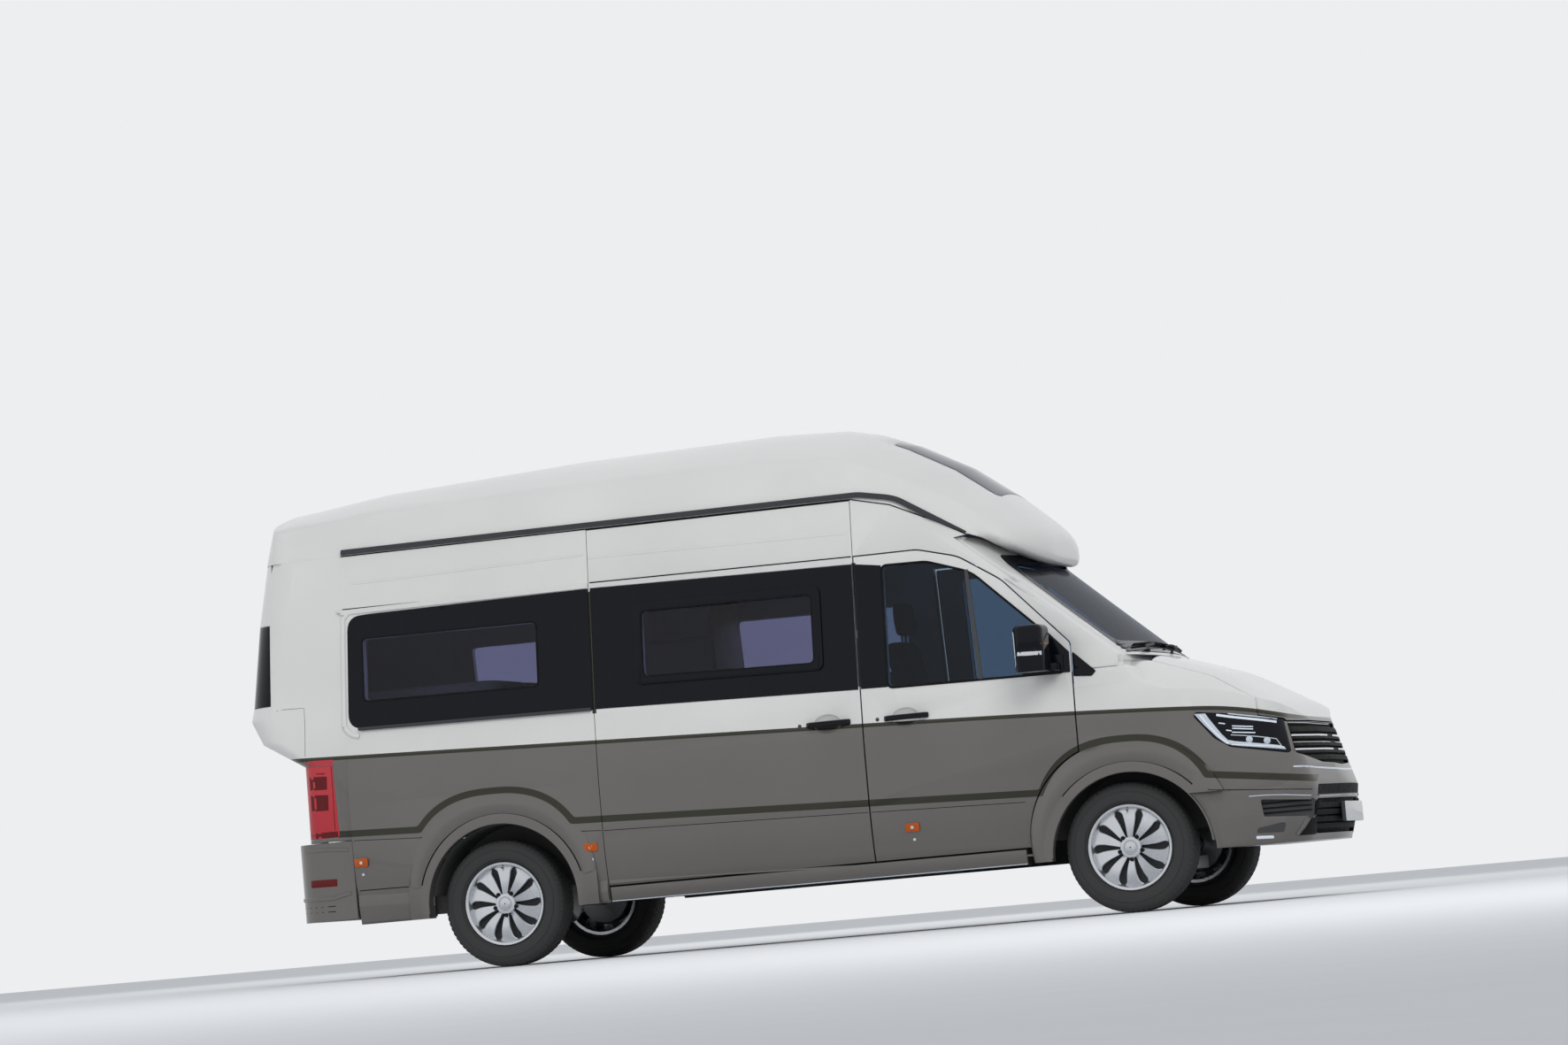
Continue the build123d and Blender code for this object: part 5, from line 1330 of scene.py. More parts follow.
@dataclass(frozen=True)
class SideTrim:
    """Lines, sill, lips, markers, handles and flaps of both sides.

    Attributes:
        marks: Station and height of each side marker.
        pulls: Tag, stations and height of each door pull.
        flaps: Tag, station, height and sizes of the service flaps of the closed side.
        seam: Width and height of the thin seam under the lower dark line.
        lip: Section of the rolled edge of a wheel opening.
        pull: Section of a door pull.
    """

    marks: tuple = ((-4.455, 0.660), (-3.070, 0.627), (-1.196, 0.573))
    pulls: tuple = (("cab", -1.307, -1.043, 1.183), ("slide", -1.757, -1.492, 1.187))
    flaps: tuple = (("fuel", -1.640, 0.980, 0.170, 0.170), ("power", -4.300, 0.900, 0.130, 0.150),
                    ("water", -2.500, 0.930, 0.180, 0.150))
    seam: tuple = (0.0035, 0.0016)
    lip: tuple = ((-0.003, -0.030), (0.006, -0.030), (0.006, 0.0125), (0.0035, 0.0155), (-0.001, 0.0155),
                  (-0.003, 0.013))
    pull: tuple = ((-0.013, -0.007), (0.013, -0.007), (0.0155, 0.0), (0.012, 0.007), (-0.012, 0.007), (-0.0155, 0.0))

    def build(self) -> None:
        """Builds both sides."""
        for side in (RIGHT, LEFT):
            view = side_drape(side)
            self.lines(side, view)
            self.sill(side, view)
            self.seals(side)
            for flare in (FRONT_FLARE, REAR_FLARE):
                self.lips(flare, side, view)
            for flare in (FRONT_FLARE, REAR_FLARE):
                self.crown(flare, side)
            self.markers(side, view)
            self.handles(side, view)

    def lines(self, side: int, view: Drape) -> None:
        """Drip line, roof seam, character ridges and the thin seam under the lower dark line."""
        name = SIDE_NAME[side]
        cab = (-1.419, -0.560, f"door_{name}", "cab")
        spans = (((-4.490, -2.998, "body", "rear"), (-2.984, -1.439, "body", "slide"), cab) if side == RIGHT
                 else ((-4.490, -1.439, "body", "rear"), cab))
        for low, high, body, tag in spans:
            end = f"{name}_{tag}"
            if tag != "cab":
                rise = 2.282 if (tag, side) == ("rear", RIGHT) else 2.240
                Strip(f"drip_line_{end}", RUBBER_AND_SHADOW, [(low, 2.118), (high, 2.104)], 0.007, 0.003).lay(view)
                Strip(f"ridge_{end}", PAINT, [(max(low, -4.43), 2.262), (high - 0.02, rise)], 0.016, 0.004,
                      -0.0015).lay(view)
            if tag == "rear":
                Strip(f"seam_{end}_a", RUBBER_AND_SHADOW, [(low, 0.790), (-4.02, 0.768)], *self.seam).lay(view)
            crease = {"rear": [(-3.205, 0.727), (high, 0.716 if side == RIGHT else 0.676)],
                      "slide": [(low, 0.714), (high, 0.677)], "cab": [(low, 0.676), (-0.545, 0.653)]}[tag]
            Strip(f"seam_{end}_b", RUBBER_AND_SHADOW, crease, *self.seam).lay(view, body=body)
        roof = stations([(-4.49, 2.4255), (-1.425, 2.4255), (-1.20, 2.3725), (-0.93, 2.2465), (-0.745, 2.147)])
        make(f"roof_seam_{name}", RUBBER_AND_SHADOW, along_side(side, roof, 0.0005, rounded_bar(0.006, 0.003)))

    def seals(self, side: int) -> None:
        """Dark rubber seals set back in the upright seams of the doors."""
        name, section = SIDE_NAME[side], rounded_bar(0.0055, 0.003)
        seams = [("cab", -1.427, 0.440, 2.090), ("wing", -0.219, 0.720, 1.340), ("slide", -2.991, 0.440, 2.090)]
        for tag, s, low, high in seams if side == RIGHT else seams[:2]:
            rows = [(FRONT_X + s, low + (high - low) * k / 30) for k in range(31)]
            make(f"seal_{tag}_{name}", RUBBER_AND_SHADOW, along_side(side, rows, -0.0055, section))
        door = corners([(-1.423, 0.405, 0), (-0.221, 0.405, 0), (-0.221, 1.501, 0.042), (-0.588, 1.887, 0.302),
                        (-0.829, 2.042, 0.262), (-1.060, 2.102, 0.202), (-1.423, 2.102, 0)], 8)
        rows = [(x, z) for x, z in door if z > 1.345 and x > FRONT_X - 1.420]
        make(f"seal_frame_{name}", RUBBER_AND_SHADOW, along_side(side, rows, -0.0055, section))

    def sill(self, side: int, view: Drape) -> None:
        """Sill moulding: a light upper slope over a flat lower face, the rocker and its bright edge."""
        name = SIDE_NAME[side]
        tail, cab = (-4.494, -4.112, "body", "tail"), (-1.419, -0.536, f"door_{name}", "cab")
        spans = ((tail, (-3.112, -2.998, "body", "mid"), (-2.984, -1.439, "body", "slide"), cab) if side == RIGHT
                 else (tail, (-3.112, -1.439, "body", "mid"), cab))
        for low, high, body, tag in spans:
            foot = 0.412 if tag in ("slide", "cab") else 0.322
            count = max(2, int((high - low) / 0.1))
            rows = []
            for s in (low + (high - low) * i / count for i in range(count + 1)):
                z = 0.352 - 0.0285 * s
                end = min(foot, z - 0.012)
                slope = [(max(z - 0.062, end + 0.004), 0.017), (max(z - 0.070, end + 0.002), 0.0175)]
                if z - end < 0.06:
                    share = (z - end) / 0.062
                    slope = [(end + 0.004, 0.017 * share), (end + 0.002, 0.017 * share)]
                section = [(z, -0.002), (z - 0.004, 0.002), *slope, (end, slope[-1][1] - 0.002), (end, -0.002)]
                rows.append([on_side(FRONT_X + s, h, side, out) for h, out in section])
            make(f"sill_{name}_{tag}", PAINT, lofted(rows), body=body, angle=20)
        low, high = -2.984 if side == RIGHT else -1.425, -0.570
        Panel("rocker_{}", PAINT, [(low, 0.318), (high, 0.318), (high, 0.394), (low, 0.394)], 0.006, 0.007, 0.12,
              bevel=0.002).lay(view, name)
        Strip("sill_edge_{}", SILVER, [(-2.984, 0.3165), (high, 0.3165)], 0.007, 0.008).lay(view, name)

    def lips(self, flare: Flare, side: int, view: Drape) -> None:
        """Rolled lip round a wheel opening, and a thin dark strip of painted shadow over it."""
        end = f"{flare.place}_{SIDE_NAME[side]}"
        foot = 0.335
        ring = [(s, z) for s, z in ring_line(flare.middle, flare.level, 0.4525, 93, 48) if z > foot]
        ring = [(ring[0][0], foot), *ring, (ring[-1][0], foot)]
        if flare.place == "front":
            ring = [(s, z) for s, z in ring if z > foot or s < 0.4]
        make(f"arch_lip_{end}", PAINT, sweep([(FRONT_X + s, side * 1.004, z) for s, z in ring], self.lip, (0, side, 0)),
             angle=30)
        groove = [(s, z) for s, z in ring_line(flare.middle, flare.level, 0.498, 78, 40, 1.02) if z > flare.foot]
        # A dark strip in the rubber finish: painted shadow in the step between the flare's crown and the lip.
        Strip(f"arch_line_{end}", RUBBER_AND_SHADOW, groove, 0.008, 0.0022).lay(view)

    def crown(self, flare: Flare, side: int) -> None:
        """Full face of a flare, swelling between its outer edge and the shadow line."""
        front = flare.place == "front"
        view = side_drape(side, ("front_wings", "front_bumper") if front else (f"side_panel_{SIDE_NAME[side]}",))
        rows, count = [], 64
        for k in range(count + 1):
            a = math.radians(flare.span[0] + (flare.span[1] - flare.span[0]) * k / count)
            fade = min(1.0, (count - k) / 14) if front else 1.0
            way = Vector((math.sin(a), math.cos(a)))
            far = flare.edge(way)
            row = []
            for w in (j / 10 for j in (*range(11), 10, 0)):
                r = (far - 0.004) * (1 - w) + 0.504 * w
                lift = -0.003 if len(row) > 10 else 0.0006 + 0.011 * fade * math.sin(math.pi * w) ** 0.8
                row.append(view.hit(FRONT_X + flare.middle + r * way.x, flare.level + r * way.y, lift))
            rows.append(row)
        make(f"flare_{flare.place}_{SIDE_NAME[side]}", PAINT, lofted(rows), angle=50)

    def markers(self, side: int, view: Drape) -> None:
        """Amber side markers with their screws."""
        for k, (s, z) in enumerate(self.marks):
            end, body = f"{SIDE_NAME[side]}_{k}", f"door_{SIDE_NAME[side]}" if s > -1.4 else "body"
            Panel(f"marker_{end}", AMBER, block(s, z, 0.040, 0.024, 0.008), 0.009, 0.010, 0.02,
                  bevel=0.002).lay(view, body=body)
            Panel(f"marker_{end}_lens", SILVER, block(s, z, 0.008, 0.008, 0.003), 0.0102, 0.002,
                  0.02).lay(view, body=body)
            stud = [(0.001, -0.001), (0.009, -0.001), (0.008, 0.002), (0.001, 0.003)]
            make(f"marker_{end}_stud", SILVER if side == RIGHT else BLACK,
                 lathe(stud, 14, view.hit(FRONT_X + s + 0.004, z - 0.068), side), body=body)

    def handles(self, side: int, view: Drape) -> None:
        """Door pulls across their finger hollows, lock barrels, and flaps on the closed side."""
        name = SIDE_NAME[side]
        for tag, low, high, z in self.pulls if side == RIGHT else self.pulls[:1]:
            body = f"door_{name}" if tag == "cab" else "body"
            path = [on_side(FRONT_X + s, z, side, out) for s, out in (
                (low + 0.010, 0.0), (low + 0.030, 0.026), ((low + high) / 2, 0.031), (high - 0.030, 0.026),
                (high - 0.010, 0.0))]
            make(f"handle_{name}_{tag}", BLACK_GLOSS, sweep(path, self.pull, (0, side, 0.02)), body=body)
            lock = [(0.001, -0.001), (0.011, -0.001), (0.010, 0.003), (0.001, 0.004)]
            make(f"lock_{name}_{tag}", BLACK, lathe(lock, 16, view.hit(FRONT_X + low - 0.035, z), side), body=body)
        for tag, s, z, w, h in self.flaps if side == LEFT else ():
            rows = block(s, z, w / 2, h / 2, 0.03)
            Panel(f"flap_{tag}_seam", RUBBER_AND_SHADOW, rows, 0.0008, 0.002, 0.05, 5, grown=0.003).lay(view)
            Panel(f"flap_{tag}", PAINT, rows, 0.0026, 0.003, 0.05, 5).lay(view)


@dataclass(frozen=True)
class Glass:
    """Window band, panes, frames, windscreen, tail pane and roof window.

    Attributes:
        rear: Outline of the band's rear part.
        middle: Outline of its middle part.
        bridge: Outline of the join on the closed side.
        rear_pane: Outline of the rear pane.
        middle_frame: Outline of the frame of the middle window.
        middle_pane: Outline of the middle pane.
        cab: Outline of the door's pane.
        edge: Line of the light moulding round the band's rear end.
    """

    rear: tuple = tuple(corners([(-4.478, 1.425, 0.09), (-2.998, 1.400, 0), (-2.998, 2.085, 0),
                                 (-4.463, 2.075, 0.09)]))
    middle: tuple = tuple(corners([(-2.982, 1.400, 0), (-1.441, 1.360, 0), (-1.441, 2.060, 0), (-2.982, 2.085, 0)]))
    bridge: tuple = tuple(corners([(-3.000, 1.400, 0), (-2.980, 1.400, 0), (-2.980, 2.085, 0), (-3.000, 2.085, 0)]))
    rear_pane: tuple = tuple(corners([(-4.375, 1.580, 0.03), (-3.320, 1.566, 0.03), (-3.320, 1.928, 0.03),
                                      (-4.375, 1.936, 0.03)]))
    middle_frame: tuple = tuple(corners([(-2.735, 1.512, 0.05), (-1.630, 1.488, 0.05), (-1.630, 1.965, 0.05),
                                         (-2.735, 1.975, 0.05)]))
    middle_pane: tuple = tuple(corners([(-2.685, 1.558, 0.03), (-1.685, 1.534, 0.03), (-1.685, 1.914, 0.03),
                                        (-2.685, 1.924, 0.03)]))
    cab: tuple = tuple(corners([(-1.265, 1.357, 0.03), (-0.268, 1.345, 0.02), (-0.268, 1.480, 0.06),
                                (-0.760, 1.945, 0.26), (-1.010, 2.028, 0.20), (-1.265, 2.032, 0.03)], 8))
    edge: tuple = ((-4.415, 1.378), (-4.462, 1.392), (-4.497, 1.432), (-4.504, 1.500), (-4.492, 2.020),
                   (-4.480, 2.072), (-4.452, 2.096), (-4.400, 2.100), (-2.998, 2.103))

    def build(self) -> None:
        """Builds the glazing."""
        for side in (RIGHT, LEFT):
            self.band(side)
            self.cab_window(side)
        self.screen()
        skin("rear_window", BLACK_GLOSS, bevel=0.0015)
        skin("roof_window", ROOF_PANE, bevel=0.0015)

    def flush(self, outline: Points, side: int, out: float, thick: float, holes: Sequence[Points] = ()) -> Shape:
        """Slab following the plain body side."""
        return slab(fill(outline, holes, 0.06), lambda u, v: on_side(u, v, side, out),
                    lambda u, v: on_side(u, v, side, out - thick))

    def band(self, side: int) -> None:
        """Gloss black band with its panes, the middle frame, the seals and the light edge."""
        name, glass = SIDE_NAME[side], {"replaces": ("side_glass",)}
        for tag, finish, outline, out, thick, holes, settings in (
                ("band_rear", BLACK_GLOSS, self.rear, 0.0012, 0.006, [self.rear_pane], glass),
                ("band_middle", BLACK_GLOSS, self.middle, 0.0012, 0.006, [self.middle_pane], glass),
                ("pane_rear", PANE, self.rear_pane, 0.0002, 0.004, (), {}),
                ("pane_middle", PANE, self.middle_pane, 0.0002, 0.004, (), {}),
                ("frame_middle", BLACK_GLOSS, self.middle_frame, 0.014, 0.014, [self.middle_pane], {"bevel": 0.003})):
            make(f"{tag}_{name}", finish, self.flush(outline, side, out, thick, holes), **settings)
        for tag, pane, out in (("rear", self.rear_pane, 0.0012), ("middle", self.middle_pane, 0.012)):
            make(f"pane_seal_{tag}_{name}", RUBBER_AND_SHADOW,
                 along_side(side, grow(pane, 0.004), out, rounded_bar(0.010, 0.003), True))
        section = [(-0.018, 0.0), (0.018, 0.0), (0.014, 0.010), (-0.004, 0.012), (-0.014, 0.004)]
        make(f"band_edge_{name}", PAINT, along_side(side, curve(stations(self.edge), 5), -0.001, section), angle=20)
        if side == LEFT:
            make("band_bridge_left", BLACK_GLOSS, self.flush(self.bridge, side, 0.0008, 0.004))

    def cab_window(self, side: int) -> None:
        """Door pane with its divider, surround and the black sail under the mirror."""
        name = SIDE_NAME[side]
        put = partial(make, body=f"door_{name}")
        put(f"cab_pane_{name}", CAB_PANE, self.flush(grow(self.cab, -0.001), side, -0.001, 0.004),
            replaces=(f"cab_door_glass_{name}",))
        put(f"cab_seal_{name}", RUBBER_AND_SHADOW,
            along_side(side, grow(self.cab, 0.004), 0.0004, rounded_bar(0.013, 0.004), True))
        bar = stations([(-0.783, 1.962), (-0.757, 1.650), (-0.735, 1.349)])
        put(f"cab_divider_{name}", BLACK, along_side(side, bar, -0.001, rounded_bar(0.022, 0.006)))
        pillar = corners([(-1.4235, 1.360, 0), (-1.270, 1.357, 0), (-1.270, 2.038, 0), (-1.4235, 2.060, 0)])
        put(f"cab_pillar_{name}", BLACK_GLOSS, self.flush(pillar, side, 0.0012, 0.002))
        sail = corners([(-0.500, 1.350, 0.01), (-0.229, 1.338, 0.006), (-0.229, 1.452, 0.006), (-0.360, 1.590, 0.02),
                        (-0.440, 1.560, 0.05)])
        put(f"cab_sail_{name}", BLACK_GLOSS, self.flush(sail, side, 0.005, 0.009), bevel=0.002)
        foot = corners([(-0.212, 1.314, 0.006), (-0.110, 1.306, 0.012), (-0.086, 1.332, 0.006),
                        (-0.212, 1.452, 0.006)], 4)

        def outer(u: float, v: float, out: float) -> tuple[float, float, float]:
            """Point over the wing's top edge, moved outwards."""
            return u, side * (max(side_y(v), float(np.interp(v, [1.29, 1.345, 1.36], [0.988, 0.983, 0.900]))) + out), v

        make(f"cab_sail_foot_{name}", BLACK_GLOSS, slab(fill(foot, [], 0.03), lambda u, v: outer(u, v, 0.004),
                                                        lambda u, v: outer(u, v, -0.004)), bevel=0.002)

    def screen(self) -> None:
        """Windscreen with its dark border, and the wipers at rest."""
        skin("windscreen", SCREEN, bevel=0.0)
        view = Drape(("windscreen",), (-1, 0, 0), SIDEWARD)
        outer = rounded([(-0.798, 1.434, 0.06), (0.798, 1.434, 0.06), (0.733, 2.038, 0.09), (-0.733, 2.038, 0.09)])
        inner = rounded([(-0.748, 1.500, 0.06), (0.748, 1.500, 0.06), (0.690, 1.985, 0.09), (-0.690, 1.985, 0.09)])
        make("screen_border", BLACK_GLOSS, view.patch(outer, 0.0006, 0.0012, 0.08, [inner]))
        for k, (y0, y1, y2) in enumerate(((-0.52, -0.30, 0.30), (0.10, 0.30, 0.74))):
            arm = [view.hit(y0, 1.437, 0.030), view.hit(y0 + 0.02, 1.462, 0.034), view.hit(y1, 1.478, 0.030)]
            blade = [view.hit(y1 - 0.30 + (y2 - y1 + 0.30) * t / 12, 1.470 + 0.016 * math.sin(math.pi * t / 12), 0.009)
                     for t in range(13)]
            for tag, finish, path, section in (
                    ("arm", BLACK, arm, [(-0.009, 0), (0.009, 0), (0.006, 0.009), (-0.006, 0.009)]),
                    ("blade", RUBBER_AND_SHADOW, blade, [(-0.006, -0.006), (0.006, -0.006), (0.004, 0.012), (-0.004, 0.012)])):
                make(f"wiper_{tag}_{k}", finish, sweep(path, section, (1, 0, 0.9)))


@dataclass(frozen=True)
class FrontEnd:
    """Headlamps, grille, intakes, blank plate and cowl of the front.

    Attributes:
        lamp: Bright parts of the headlamp, before its bars.
        lamp_bars: Reflector bars of the headlamp.
        lamp_box: Frame line round the lenses.
        lenses: Station and height of each lens.
        corner_parts: Trim of the bumper's corner, with a black patch of painted shade in its low recess.
        grille_bars: Height, half length and width of the bright bars.
        nose: Strip over the grille, and a silver strip at its foot that is a painted highlight on the nose's crease.
        insert: Black insert over the lower intake with its bright line.
    """

    lamp: tuple = (
        Panel("lamp_angle_{}", SILVER, (
            (0.425, 1.045), (0.478, 0.975), (0.535, 0.908), (0.580, 0.868), (0.640, 0.852), (0.740, 0.836),
            (0.811, 0.824), (0.878, 0.812), (0.872, 0.826), (0.847, 0.838), (0.742, 0.858), (0.627, 0.879),
            (0.588, 0.890), (0.560, 0.923), (0.534, 0.962), (0.502, 1.011), (0.484, 1.043)), 0.004, 0.006, 0.02,
            bevel=0.001),
        Strip("lamp_angle_light_{}", LIGHT, ((0.455, 1.036), (0.505, 0.962), (0.560, 0.895), (0.592, 0.871)),
              0.010, 0.003, 0.0035, 3),
        Strip("lamp_low_light_{}", LIGHT, ((0.605, 0.862), (0.740, 0.845), (0.868, 0.826)), 0.006, 0.003, 0.0035),
        Strip("lamp_strip_{}", LIGHT, ((0.540, 1.030), (0.609, 1.014), (0.694, 0.997), (0.779, 0.980), (0.838, 0.966)),
              0.013, 0.003, 0.001),
        Strip("lamp_brow_{}", SILVER, ((0.543, 1.046), (0.612, 1.030), (0.697, 1.013), (0.782, 0.996), (0.841, 0.982)),
              0.007, 0.002, 0.001))
    lamp_bars: tuple = (((0.548, 0.985), (0.581, 0.978)), ((0.616, 0.963), (0.723, 0.950)),
                        ((0.616, 0.950), (0.722, 0.937)), ((0.584, 0.943), (0.612, 0.937)),
                        ((0.614, 0.929), (0.732, 0.916)))
    lamp_box: Strip = Strip("lamp_box_{}", SILVER, ((0.606, 0.915), (0.673, 0.906), (0.745, 0.894), (0.835, 0.874),
                                                    (0.864, 0.822)), 0.005, 0.002, 0.0008)
    lenses: tuple = ((0.700, 0.882), (0.790, 0.868))
    corner_parts: tuple = (
        Strip("side_intake_brow_{}", SILVER, ((0.672, 0.574), (0.762, 0.573), (0.862, 0.566), (0.975, 0.552)),
              0.006, 0.004, smooth=5),
        # A black patch of painted shade in the low recess of the bumper's corner.
        Panel("low_panel_{}", BLACK, ((0.688, 0.372, 0.01), (0.826, 0.366, 0.01), (0.850, 0.424, 0.02),
                                      (0.700, 0.398, 0.01)), 0.0012, 0.003, steps=4),
        Panel("low_lamp_{}", LIGHT, ((0.684, 0.340, 0.006), (0.772, 0.336, 0.006), (0.774, 0.352, 0.006),
                                     (0.685, 0.357, 0.006)), 0.004, 0.006, 0.02, bevel=0.001),
        Strip("bumper_seam_{}", RUBBER_AND_SHADOW, ((0.480, 0.628), (0.560, 0.619), (0.722, 0.607), (0.900, 0.593),
                                         (0.985, 0.585)), 0.0045, 0.0016, smooth=5))
    grille_bars: tuple = ((0.887, 0.700, 0.011), (0.848, 0.706, 0.004), (0.808, 0.716, 0.011))
    nose: tuple = (
        Strip("grille_brow", CHROME, ((-0.700, 0.962), (-0.400, 0.960), (0.0, 0.958), (0.400, 0.960), (0.700, 0.962)),
              0.007, 0.004, smooth=6),
        # A silver strip standing for a painted highlight: the light caught by the nose's crease at the grille's foot.
        Strip("grille_foot", SILVER, ((-0.760, 0.716), (-0.400, 0.700), (0.0, 0.692), (0.400, 0.700), (0.760, 0.716)),
              0.010, 0.003, smooth=6))
    insert: tuple = (
        Panel("nose_insert", RUBBER_AND_SHADOW, ((-0.600, 0.556, 0.01), (0.600, 0.556, 0.01), (0.596, 0.612, 0.01),
                                      (-0.596, 0.612, 0.01)), 0.0025, 0.006),
        Strip("intake_line", CHROME, ((-0.610, 0.548), (0.610, 0.548)), 0.006, 0.002, -0.002))

    def build(self) -> None:
        """Builds the front."""
        for side in (RIGHT, LEFT):
            self.headlamp(side)
            self.corner(side)
        self.grille()
        self.intake()
        cowl = Drape(("cab_frame",), (0, 0, -1), SIDEWARD, FORWARD)
        for k, s in enumerate((0.075, 0.100, 0.125)):
            rows = [(y, FRONT_X + s - 0.035 - 0.04 * (abs(y) / 0.8) ** 2) for y in (-0.80 + 0.1 * i for i in range(17))]
            Strip(f"cowl_slat_{k}", BLACK, rows, 0.018, 0.004).lay(cowl)

    def headlamp(self, side: int) -> None:
        """Dark housing behind a bright angle bar, reflector bars, a light strip and two lenses."""
        name = SIDE_NAME[side]
        flank = Drape(("headlamps",), (0, -side, 0), FORWARD, shift=FRONT_X)
        view = Drape(("headlamps",), (-0.45, -side * 0.89, 0), (0.89, -side * 0.45, 0), through=flank)
        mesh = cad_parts["headlamps"].data
        faces = [tuple(p.vertices) for p in mesh.polygons if p.center.y * side > 0]
        used = sorted({i for f in faces for i in f})
        place = {old: new for new, old in enumerate(used)}
        make(f"lamp_case_{name}", BLACK_GLOSS, ([mesh.vertices[i].co for i in used],
                                               [tuple(place[i] for i in f) for f in faces]),
             bevel=0.002, replaces=("headlamps",))
        for part in self.lamp:
            part.lay(view, name)
        make(f"lamp_bars_{name}", LIGHT,
             *(view.line(view.seen(rows), 0.0065, 0.003, 0.0008) for rows in self.lamp_bars))
        self.lamp_box.lay(view, name)
        ahead = Vector((0.45, side * 0.89, 0))
        make(f"lamp_lens_{name}", SILVER,
             *(ball(flank.hit(FRONT_X + s, z, 0.001), 0.020, ahead, 0.35) for s, z in self.lenses))

    def corner(self, side: int) -> None:
        """Side intake with its trim, the low lamp, the diagonal edge and the bumper seam."""
        name = SIDE_NAME[side]

        def back(u: float, v: float, depth: float) -> tuple[float, float, float]:
            """Point on the intake's floor, set in by a depth."""
            wide = np.interp(u - FRONT_X, [0.70, 0.85, 0.97], [0.853, 0.795, 0.690])
            return u - 0.3 * depth, side * (wide - depth), v

        hole = corners([(0.722, 0.448, 0.01), (0.985, 0.430, 0.01), (1.002, 0.536, 0.01), (0.714, 0.560, 0.01)], 3)
        make(f"side_intake_mesh_{name}", BLACK, slab(fill(hole, [], 0.04), lambda u, v: back(u, v, 0.022),
                                                     lambda u, v: back(u, v, 0.030)))
        make(f"side_intake_slats_{name}", BLACK_GLOSS, *(
            sweep([back(FRONT_X + s, z, 0.020) for s in np.linspace(0.735, 0.975, 9)], rounded_bar(0.007, 0.010),
                  (0.45, side * 0.89, 0)) for z in (0.476, 0.502, 0.528)))
        view = side_drape(side, ("front_bumper", "front_wings", "lower_grille", "headlamps", "grille"))
        for part in self.corner_parts:
            part.lay(view, name)
        ahead = Drape(("front_bumper",), (-1, 0, 0), SIDEWARD)
        cheek = [(side * y, z) for y, z in ((0.598, 0.520), (0.712, 0.340), (0.560, 0.340), (0.560, 0.520))]
        Panel("low_cheek_{}", RUBBER_AND_SHADOW, cheek, 0.0015, 0.003, 0.02).lay(ahead, name)
        slant = Drape(("front_bumper", "lower_grille"), (-0.8, -side * 0.6, 0), (0.6, -side * 0.8, 0))
        edge = [slant.flat((FRONT_X + s, side * y, z)) for s, y, z in (
            (1.004, 0.600, 0.560), (0.985, 0.612, 0.520), (0.935, 0.680, 0.430), (0.895, 0.728, 0.345))]
        Strip("corner_edge_{}", PAINT, edge, 0.020, 0.008).lay(slant, name)

    def grille(self) -> None:
        """Black grille with bright bars and upright ribs, the strip over it, and the painted highlight at its foot."""
        skin("grille", RUBBER_AND_SHADOW)
        view = Drape(("grille",), (-1, 0, 0), SIDEWARD)
        make("grille_bars", CHROME, *(view.line([(y0, z), (y1, z)], width, 0.006, step=0.05)
                                      for z, half, width in self.grille_bars
                                      for y0, y1 in ((-half, -0.075), (0.075, half))))
        make("grille_ribs", BLACK, *(view.line([(k * 0.072, 0.742), (k * 0.072, 0.945)], 0.004, 0.004, -0.016)
                                     for k in range(-9, 10)))
        nose = Drape(("grille", "bonnet", "front_wings", "front_bumper"), (-1, 0, 0), SIDEWARD)
        for part in self.nose:
            part.lay(nose)

    def intake(self) -> None:
        """Black insert over the lower intake, its bright line and the blank plate."""
        view = Drape(("front_bumper", "front_wings", "grille"), (-1, 0, 0), SIDEWARD)
        for part in self.insert:
            part.lay(view)
        skin("lower_grille", RUBBER_AND_SHADOW)
        x = FRONT_X + 1.080
        plate = fill(rounded(block(0, 0.457, 0.26, 0.055, 0.012), 4), [], 0.06)
        for name, finish, wide, face, back, bevel in (("plate_front_holder", BLACK, 1.02, 0.0, -0.020, 0.001),
                                                      ("plate_front", PLATE, 1.0, 0.003, 0.0005, 0.0005)):
            make(name, finish, slab(plate, lambda u, v: (x + face, u * wide, v), lambda u, v: (x + back, u * wide, v)),
                 bevel=bevel)


